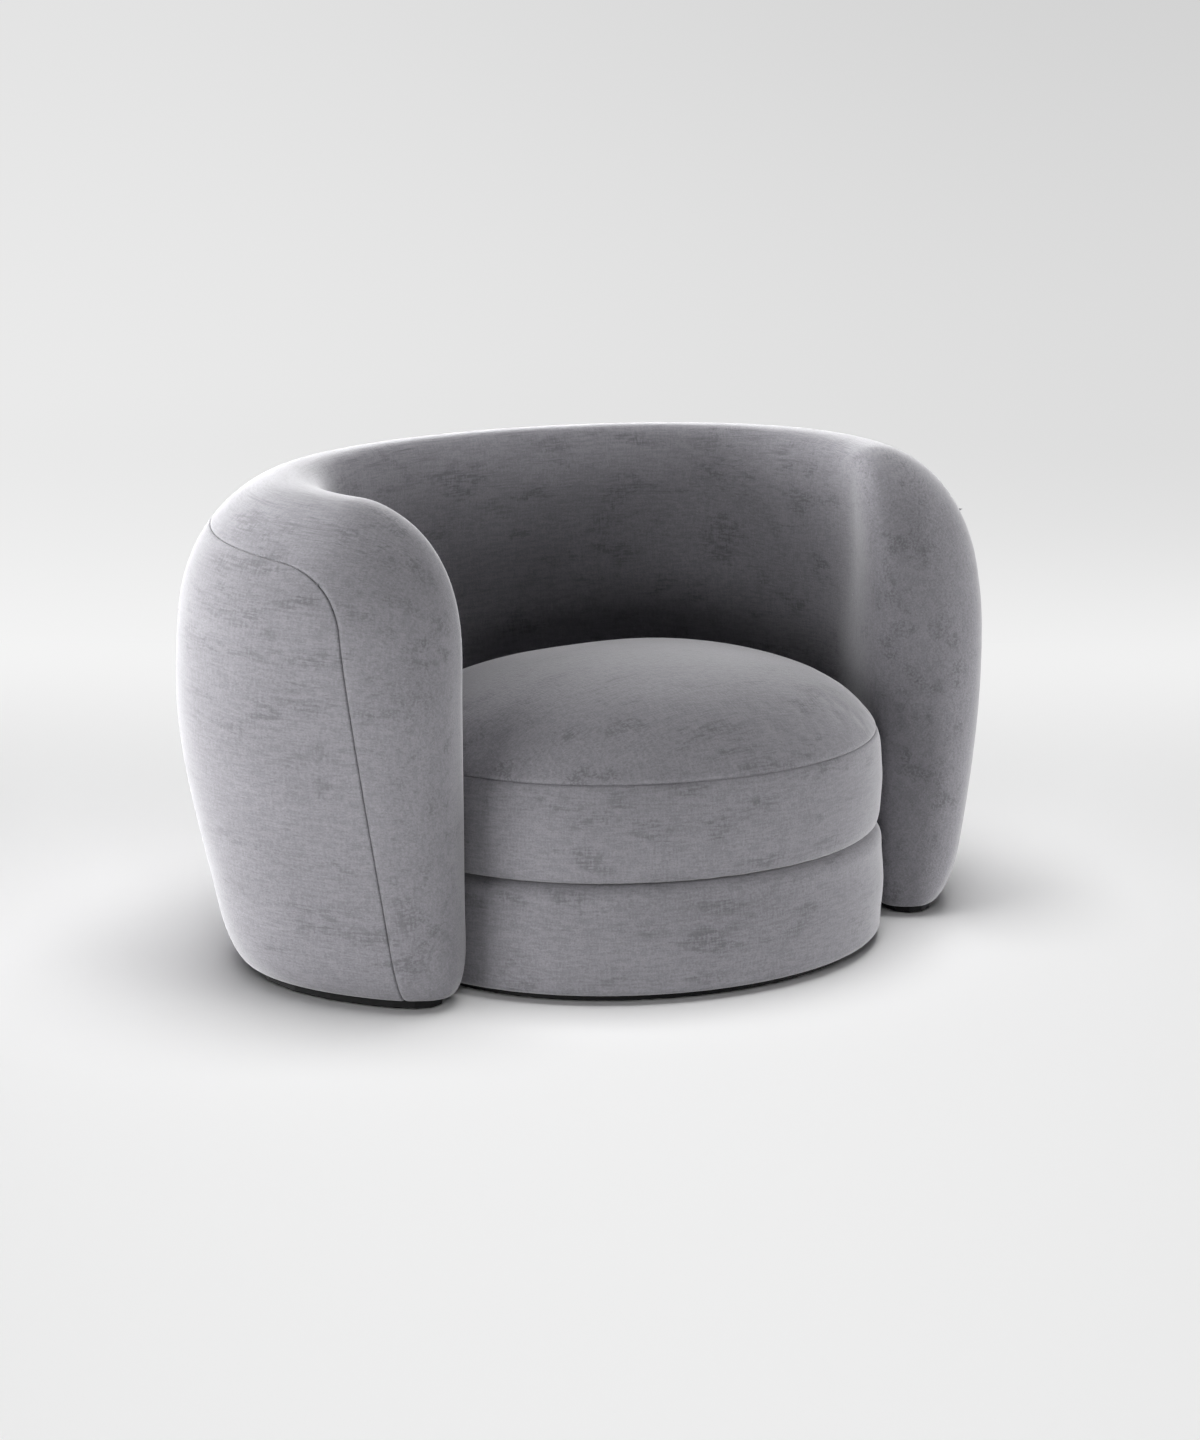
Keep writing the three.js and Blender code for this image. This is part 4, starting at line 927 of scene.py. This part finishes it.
def speckle_group():
    """A fine speckle for board, felt, plastic and metal: one colour made lighter and darker by noise,
    with its own height."""
    group, given, result = new_group(
        "Fine speckle", Vector="Vector", Colour="Color", Lightness_Change=0.2, Roughness=0.6
    )
    add, times = arithmetic(group)
    vector = given.outputs["Vector"]
    coarse = stretched_noise(group, vector, (1, 1, 1), 6.0)
    change = times(math_node(group, "SUBTRACT", coarse, 0.5), given.outputs["Lightness Change"])
    shade = add(times(change, 4.0), 1.0)
    plain = given.outputs["Colour"]
    shaded = node(group, "ShaderNodeVectorMath", {0: plain, 1: shade}, set_operation="MULTIPLY")
    roughness = add(given.outputs["Roughness"], change)
    join(group, result, {"Colour": shaded.outputs[0], "Roughness": roughness, "Height": coarse})
    return group


def new_material(name):
    material = bpy.data.materials.new(name)
    material.use_nodes = True
    return material, material.node_tree, material.node_tree.nodes["Principled BSDF"]


def use_group(tree, group, shader, bump, **values):
    """Places a group in a material and joins its colour, roughness and height to the shader."""
    placed = tree.nodes.new("ShaderNodeGroup")
    placed.node_tree = bpy.data.node_groups[group]
    for key, value in values.items():
        socket = placed.inputs[key.replace("_", " ")]
        if isinstance(value, bpy.types.NodeSocket):
            tree.links.new(value, socket)
        else:
            socket.default_value = value
    tree.links.new(placed.outputs["Colour"], shader.inputs["Base Color"])
    tree.links.new(placed.outputs["Roughness"], shader.inputs["Roughness"])
    relief = node(tree, "ShaderNodeBump", {"Height": placed.outputs["Height"]}, Strength=1.0, Distance=bump)
    tree.links.new(relief.outputs[0], shader.inputs["Normal"])


def velvet_material(colours):
    material, tree, shader = new_material("Velvet")
    _, times = arithmetic(tree)
    nap = node(tree, "ShaderNodeAttribute", set_attribute_name="nap")
    colour_values = dict(Colour=colours.velvet, Mark_Colour=colours.velvet_mark)
    nap = nap.outputs["Vector"]
    use_group(tree, "Velvet nap", shader, bump=0.0004, Nap=nap, Mark_Amount=0.8, **colour_values)
    # Painted sheen: where the velvet is seen along its surface its colour is mixed towards a lighter
    # colour, a painted highlight on top of the shader's own sheen
    facing = node(tree, "ShaderNodeLayerWeight", Blend=0.5).outputs["Facing"]
    steepness, most_painted_sheen = 4.0, 0.85
    rim = times(math_node(tree, "POWER", facing, steepness), most_painted_sheen)
    (pile,) = (link.from_socket for link in shader.inputs["Base Color"].links)
    tree.links.new(mix_colours(tree, rim, pile, colours.velvet_painted_sheen), shader.inputs["Base Color"])
    shader.inputs["Specular IOR Level"].default_value = 0.15
    shader.inputs["Sheen Weight"].default_value = 0.35
    shader.inputs["Sheen Roughness"].default_value = 0.3
    shader.inputs["Sheen Tint"].default_value = (0.98, 0.98, 1.0, 1)
    return material


def wood_material(colours):
    material, tree, shader = new_material("Plywood")
    place = node(tree, "ShaderNodeTexCoord").outputs["Object"]
    colour_values = dict(Colour=colours.plywood, Figure_Colour=colours.plywood_dark)
    use_group(tree, "Birch ply", shader, bump=0.0002, Vector=place, **colour_values)
    return material


def speckled_material(name, colour_value, cells, change, roughness, bump):
    """A material of one colour whose speckle has so many cells to the metre."""
    material, tree, shader = new_material(name)
    place = node(tree, "ShaderNodeTexCoord").outputs["Object"]
    mapping = node(tree, "ShaderNodeMapping", {"Vector": place}, Scale=cells)
    values = dict(Colour=colour_value, Lightness_Change=change, Roughness=roughness)
    use_group(tree, "Fine speckle", shader, bump, Vector=mapping.outputs[0], **values)
    return material, shader


def deck_material(colours):
    """Plain-woven black cloth: two sets of threads cross, and each passes over the other in turn."""
    material, tree, shader = new_material("Deck cloth")
    add, times = arithmetic(tree)
    place = node(tree, "ShaderNodeTexCoord").outputs["Object"]
    across, along = (
        node(tree, "ShaderNodeTexWave", {"Vector": place}, Scale=330.0, set_bands_direction=axis)
        for axis in "XY"
    )
    weave = math_node(tree, "MAXIMUM", across.outputs["Fac"], along.outputs["Fac"])
    shade = add(times(weave, 0.8), 0.5)
    base = node(tree, "ShaderNodeVectorMath", {1: shade}, set_operation="MULTIPLY")
    base.inputs[0].default_value = colours.deck[:3]
    tree.links.new(base.outputs[0], shader.inputs["Base Color"])
    shader.inputs["Roughness"].default_value = 0.95
    relief = node(tree, "ShaderNodeBump", {"Height": weave}, Strength=1.0, Distance=0.0003)
    tree.links.new(relief.outputs[0], shader.inputs["Normal"])
    return material


def finish(material, *names):
    """Gives a material to the solids that keep their own shape."""
    for name in names:
        for place in frame["nodes"][name].material_slots:
            place.material = material


def nodes_named(*stems):
    return [name for name in frame["nodes"] if name.startswith(stems)]


# Operators, one for each piece or group of like pieces


class CUDDLE_OT_materials(bpy.types.Operator):
    """Makes the velvet and the finishes of boards, springs, plinth and glides"""

    bl_idname = "cuddle.materials"
    bl_label = "Finishes"

    def execute(self, context):
        colours = context.scene.cuddle_colours
        velvet_nap_group()
        wood_group()
        speckle_group()
        velvet_material(colours)
        deck_material(colours)
        wood = wood_material(colours)
        finish(wood, *nodes_named("shell_base", "shell_top", "shell_rib", "seat_base_floor"))
        finish(wood, *nodes_named("seat_base_ring", "seat_base_post"))
        board, _ = speckled_material(
            "Hardboard", colours.hardboard, cells=(260, 260, 900), change=0.25, roughness=0.75, bump=0.0002
        )
        finish(board, *nodes_named("shell_outer_board", "shell_inner_board", "seat_base_hoop"))
        steel, shader = speckled_material(
            "Spring steel", colours.steel, cells=(300, 60, 300), change=0.12, roughness=0.32, bump=0.00003
        )
        shader.inputs["Metallic"].default_value = 1
        finish(steel, *nodes_named("seat_spring", "spring_clip"))
        lacquer, shader = speckled_material(
            "Black lacquer", colours.lacquer, cells=(90, 90, 90), change=0.2, roughness=0.6, bump=0.00005
        )
        shader.inputs["Specular IOR Level"].default_value = 0.2
        finish(lacquer, "plinth")
        nylon, _ = speckled_material(
            "Nylon", colours.nylon, cells=(700, 700, 700), change=0.2, roughness=0.5, bump=0.0001
        )
        finish(nylon, *nodes_named("glide"))
        speckled_material(
            "Felt", colours.felt, cells=(500, 500, 900), change=0.3, roughness=0.95, bump=0.0006
        )
        return {"FINISHED"}


class CUDDLE_OT_shell(bpy.types.Operator):
    """Covers the shell: the outside panel, and the inside with the roll and the arm fronts"""

    bl_idname = "cuddle.shell"
    bl_label = "Shell covers"

    def execute(self, context):
        cloth = context.scene.cuddle_cloth
        shell = Shell(context.scene.cuddle_shell)
        shell.arch()
        seam, _ = shell.point(*shell.seam, 1)
        outside = [(*shell.panel(shell.seam, 1), True)]
        inside = [(*shell.band(), False), (*shell.panel(shell.edge, -1), False)]
        outer_solids = ("outside_cover", "back_outer_foam", "left_arm_foam", "right_arm_foam")
        for name, grids, dip_width, replaced in (
            ("outside_panel", outside, cloth.seam_width, outer_solids),
            ("inside_and_roll", inside, cloth.lip_width, ("inside_cover", "back_inner_foam")),
        ):
            mesh = sewn_mesh(name, grids)
            upholster(mesh, distance_to_line(coordinates(mesh), seam), cloth, dip_width)
            velvet_cover(mesh, "chair", cloth.thickness, 0.9, *replaced)
        return {"FINISHED"}


class CUDDLE_OT_drum(bpy.types.Operator):
    """Covers the drum under the cushion"""

    bl_idname = "cuddle.drum"
    bl_label = "Drum cover"

    def execute(self, context):
        cloth = context.scene.cuddle_cloth
        seat = Seat(context.scene.cuddle_seat)
        mesh = sewn_mesh("drum_cover", [(*seat.turned(*seat.drum_profile()), False)])
        velvet_cover(mesh, "chair", cloth.thickness, 0.9, "seat_base_cover", "seat_base_foam")
        return {"FINISHED"}


class CUDDLE_OT_deck(bpy.types.Operator):
    """Lays the felt pad over the springs and the black cloth over the pad"""

    bl_idname = "cuddle.deck"
    bl_label = "Deck"

    def execute(self, context):
        cloth = context.scene.cuddle_cloth
        seat = Seat(context.scene.cuddle_seat)
        sizes = seat.sizes
        rings, side_rings, area_steps = 50, 4, 2000
        radius = sizes.half_width - sizes.drum_setback - sizes.drum_round_top - sizes.drum_hem
        share = np.linspace(0, 1, rings)
        pad_low, pad_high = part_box("deck_pad")
        cloth_low, cloth_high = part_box("deck_cloth")
        crown = cloth_high.z - cloth_low.z - cloth.deck_room
        dome = crown * (1 - share**2)
        rim = pad_high.z - crown
        top = seat.turned(radius * share, rim + dome)
        side = seat.turned(np.full(side_rings, radius), np.linspace(rim, pad_low.z, side_rings))
        under = seat.turned(radius * share[::-1], np.full(rings, pad_low.z))
        felt = sewn_mesh("deck_felt", [(*grid, True) for grid in (top, side, under)])
        add_piece(felt, "Felt", "chair", "felt", "deck_pad")
        top = seat.turned(radius * share, cloth_high.z - crown + dome)
        sheet = sewn_mesh("deck_sheet", [(*top, True)])
        sheet = add_piece(sheet, "Deck cloth", "chair", "black_cloth", "deck_cloth")
        thicken(sheet, cloth.deck_thickness)
        return {"FINISHED"}


class CUDDLE_OT_cushion(bpy.types.Operator):
    """Fills the loose cushion, held at its base, seam and zip, and presses its seam in"""

    bl_idname = "cuddle.cushion"
    bl_label = "Cushion"

    def execute(self, context):
        cloth = context.scene.cuddle_cloth
        seat = Seat(context.scene.cuddle_seat)
        radii, heights, along, flat = seat.cushion_profile()
        place, nap = seat.turned(radii, heights)
        over = along[:, None, None] > 0
        nap = np.where(over | (np.arange(len(radii)) < flat)[:, None, None], place, nap)
        mesh = sewn_mesh("seat_cushion_cover", [(place, nap, False)])
        ring, _ = seat.turned(seat.cushion_edge, seat.seam_z)
        from_seam = distance_to_line(coordinates(mesh), ring[0])

        start = mesh.copy()
        points = coordinates(start)
        ends = [np.abs(points[:, 2] - end) for end in (seat.seam_z, seat.cushion_foot)]
        in_front = np.where(points[:, 1] > seat.sizes.middle, 0, cloth.filling_margin)
        from_zip = np.maximum(np.maximum(*past_zip(points)), in_front)
        free = np.clip(np.minimum(np.minimum(*ends), from_zip) / cloth.filling_margin, 0, 1)
        grow(start, -cloth.filling_inset * smooth(free))
        lay_on(mesh, filled_shape(start, seat, cloth))

        upholster(mesh, from_seam, cloth, cloth.lip_width)
        solids = ("cushion_top_panel", "cushion_border", "cushion_base_panel", "cushion_foam")
        velvet_cover(mesh, "seat_cushion", 0, 0.8, *solids)
        return {"FINISHED"}


class CUDDLE_OT_zip(bpy.types.Operator):
    """Makes the zip in the back of the cushion's border: two tapes and two rows of teeth"""

    bl_idname = "cuddle.zip"
    bl_label = "Zip"

    def execute(self, context):
        seat = Seat(context.scene.cuddle_seat)
        sizes = seat.sizes
        power = sizes.rear_exponent

        def rear(x, z, proud):
            """Behind the cushion, |x|^n + y^n = r^n gives y from x and the border's radius at that
            height."""
            radius = seat.border_radius(z)
            y = np.maximum(radius**power - np.abs(x) ** power, 0) ** (1 / power)
            return np.stack([x + 0 * z, y * seat.squash + sizes.middle + proud, z + 0 * x], -1)

        zipper = context.scene.cuddle_zip
        columns, rows, teeth, corners = 180, 17, 236, 8
        x = np.linspace(zip_low.x, zip_high.x, columns)[None, :]
        z = np.linspace(zip_low.z, zip_high.z, rows)[:, None]
        dished = np.abs(np.linspace(-1, 1, rows))[:, None] ** 4
        tape = rear(x, z, zipper.tape_proud - zipper.tape_edge * dished)
        mesh = sewn_mesh("cushion_zip_tapes", [(tape, tape, True)])
        piece = add_piece(mesh, "Nylon", "seat_cushion", "nylon", "cushion_zip")
        thicken(piece, zipper.tape_thickness)

        middle = (zip_low.z + zip_high.z) / 2
        ends = zip_low.x + zipper.end_room, zip_high.x - zipper.end_room
        places = np.linspace(*ends, teeth)[:, None, None]
        stagger = zipper.tooth_stagger * np.where(np.arange(teeth) % 2, 1, -1)[:, None, None]
        turn = np.linspace(0, 2 * np.pi, corners + 1)
        radius = zipper.tooth_radius * np.array([zipper.tooth_tip, 1, 1, zipper.tooth_tip])[:, None]
        tip, shoulder = zipper.tooth_half, zipper.tooth_shoulder
        along = np.array([-tip, -shoulder, shoulder, tip])
        ring_x = places + radius * np.cos(turn)
        ring_z = middle + stagger + along[:, None] + 0 * turn
        ring_out = zipper.tooth_proud + radius * np.sin(turn) + 0 * ring_x
        grids = rear(ring_x, ring_z, ring_out)
        mesh = sewn_mesh("cushion_zip_teeth", [(tooth, tooth, True) for tooth in grids])
        add_piece(mesh, "Nylon", "seat_cushion", "nylon")
        return {"FINISHED"}


def floor_material(colours):
    """Pale floor that keeps the shadow. Further back the camera and reflections see it glow in an
    even fade instead. The glow is weaker with distance, height and towards the right, each by a
    share of its own."""
    material, tree, shader = new_material("Floor")
    add, times = arithmetic(tree)
    shader.inputs["Base Color"].default_value = colours.floor
    shader.inputs["Roughness"].default_value = 0.9
    shader.inputs["Specular IOR Level"].default_value = 0.1
    place = node(tree, "ShaderNodeTexCoord").outputs["Object"]
    turn = math.radians(CAMERA_TURN)

    def measured(direction, low, high):
        """0 at the low distance in this direction, 1 at the high one."""
        way = node(tree, "ShaderNodeVectorMath", {0: place}, set_operation="DOT_PRODUCT")
        way.inputs[1].default_value = direction
        return band_pass(tree, way.outputs["Value"], low, high)

    away = (math.sin(turn), math.cos(turn), 0)
    across = (math.cos(turn), -math.sin(turn), 0)
    full_glow, far_share, high_share, right_share = 0.955, 0.105, 0.08, 0.13
    far = times(measured(away, 0.6, 5.5), far_share)
    high = times(measured((0, 0, 1), -0.6, 1.8), high_share)
    right = times(measured(across, -3.2, 3.2), right_share)
    right = times(right, measured(away, 0.6, 4))
    glow = math_node(tree, "SUBTRACT", full_glow, add(add(far, high), right))
    path = node(tree, "ShaderNodeLightPath")
    seen = math_node(tree, "MAXIMUM", path.outputs["Is Camera Ray"], path.outputs["Is Glossy Ray"])
    seen = math_node(tree, "MAXIMUM", seen, path.outputs["Is Transmission Ray"])
    seen = times(seen, measured(away, 0.3, 2.2))
    shine = node(tree, "ShaderNodeEmission", {"Strength": glow})
    mixed = node(tree, "ShaderNodeMixShader", {0: seen, 1: shader.outputs[0], 2: shine.outputs[0]})
    tree.links.new(mixed.outputs[0], tree.nodes["Material Output"].inputs["Surface"])
    return material


def build_floor(context):
    """A flat floor that bends up into a wall behind the chair."""
    studio = context.scene.cuddle_studio
    rows, columns, flat_share, wall_from = 60, 30, 0.35, 0.6
    run = np.linspace(0, 1, rows)[:, None]
    bend = np.clip((run - flat_share) / (wall_from - flat_share), 0, 1) * np.pi / 2
    flat_y = blend_values(-studio.floor_front, studio.floor_back, run / flat_share)
    y = np.where(run < flat_share, flat_y, studio.floor_back + studio.bend * np.sin(bend))
    wall = studio.wall * np.maximum(run - wall_from, 0) / (1 - wall_from)
    z = studio.bend * (1 - np.cos(bend)) + wall
    x = np.linspace(-studio.side, studio.side, columns)
    sweep = np.stack(np.broadcast_arrays(x, y, z), -1)
    floor = add_object(sewn_mesh("floor", [(sweep, sweep, False)]))
    floor.data.materials.append(floor_material(context.scene.cuddle_colours))
    return floor


def build_lamps(context, floor):
    """Each lamp lights the chair or the floor and not the other, and the world round them is dark."""
    world = bpy.data.worlds.new("Studio")
    world.use_nodes = True
    world.node_tree.nodes["Background"].inputs["Strength"].default_value = 0
    context.scene.world = world

    lit = {name: bpy.data.collections.new("lit " + name) for name in ("chair", "floor")}
    lit["floor"].objects.link(floor)
    for piece in context.scene.objects:
        if piece.type == "MESH" and piece != floor:
            lit["chair"].objects.link(piece)
    for name, left, up, distance, size, power, receiver in LAMPS:
        lamp = bpy.data.lights.new(name, "AREA")
        lamp.energy = power
        lamp.size = size
        holder = bpy.data.objects.new(name, lamp)
        context.scene.collection.objects.link(holder)
        away, rise = math.radians(CAMERA_TURN + left), math.radians(up)
        flat, height = distance * math.cos(rise), distance * math.sin(rise) + LAMP_AIM
        holder.location = (-flat * math.sin(away), -flat * math.cos(away), height)
        holder.rotation_euler = (math.pi / 2 - rise, 0, -away)
        holder.light_linking.receiver_collection = lit[receiver]


def build_camera(context):
    camera = bpy.data.cameras.new("camera")
    camera.lens = FOCAL_PIXELS / PHOTO_PIXELS * SENSOR
    camera.sensor_width = SENSOR
    camera.shift_x = SHIFT_PIXELS / PHOTO_PIXELS
    eye = bpy.data.objects.new("camera", camera)
    context.scene.collection.objects.link(eye)
    turn, middle = math.radians(CAMERA_TURN), context.scene.cuddle_shell.centre_y
    front, aside = CAMERA_DISTANCE * math.cos(turn), CAMERA_DISTANCE * math.sin(turn)
    eye.location = (-aside, middle - front, CAMERA_HEIGHT)
    eye.rotation_euler = (math.radians(90 - CAMERA_TILT), 0, -turn)
    context.scene.camera = eye
    context.scene.view_settings.view_transform = "Standard"


class CUDDLE_OT_studio(bpy.types.Operator):
    """Sets the floor, the lamps and the camera"""

    bl_idname = "cuddle.studio"
    bl_label = "Studio"

    def execute(self, context):
        build_lamps(context, build_floor(context))
        build_camera(context)
        return {"FINISHED"}


class CUDDLE_PT_parts(bpy.types.Panel):
    """Lists the sizes, the colours and the pieces"""

    bl_idname = "CUDDLE_PT_parts"
    bl_label = "Cuddle chair"
    bl_space_type = "VIEW_3D"
    bl_region_type = "UI"
    bl_category = "Cuddle chair"

    def draw(self, context):
        for operator in OPERATORS:
            self.layout.operator(operator.bl_idname)
        for name in GROUPS:
            box = self.layout.box()
            group = getattr(context.scene, name)
            for key in type(group).__annotations__:
                box.prop(group, key)


GROUPS = {
    "cuddle_shell": ShellSizes,
    "cuddle_seat": SeatSizes,
    "cuddle_cloth": ClothSizes,
    "cuddle_zip": ZipSizes,
    "cuddle_studio": StudioSizes,
    "cuddle_colours": Colours,
}
OPERATORS = (
    CUDDLE_OT_materials,
    CUDDLE_OT_shell,
    CUDDLE_OT_drum,
    CUDDLE_OT_deck,
    CUDDLE_OT_cushion,
    CUDDLE_OT_zip,
    CUDDLE_OT_studio,
)


def register():
    for group in GROUPS.values():
        bpy.utils.register_class(group)
    for name, group in GROUPS.items():
        setattr(bpy.types.Scene, name, bpy.props.PointerProperty(type=group))
    for made in (*OPERATORS, CUDDLE_PT_parts):
        bpy.utils.register_class(made)


def unregister():
    for made in (CUDDLE_PT_parts, *reversed(OPERATORS)):
        bpy.utils.unregister_class(made)
    for name in GROUPS:
        delattr(bpy.types.Scene, name)
    for group in GROUPS.values():
        bpy.utils.unregister_class(group)


def main():
    register()
    bpy.ops.cuddle.materials()
    bpy.ops.cuddle.shell()
    bpy.ops.cuddle.drum()
    bpy.ops.cuddle.deck()
    bpy.ops.cuddle.cushion()
    bpy.ops.cuddle.zip()
    bpy.ops.cuddle.studio()


if __name__ == "__main__":
    main()
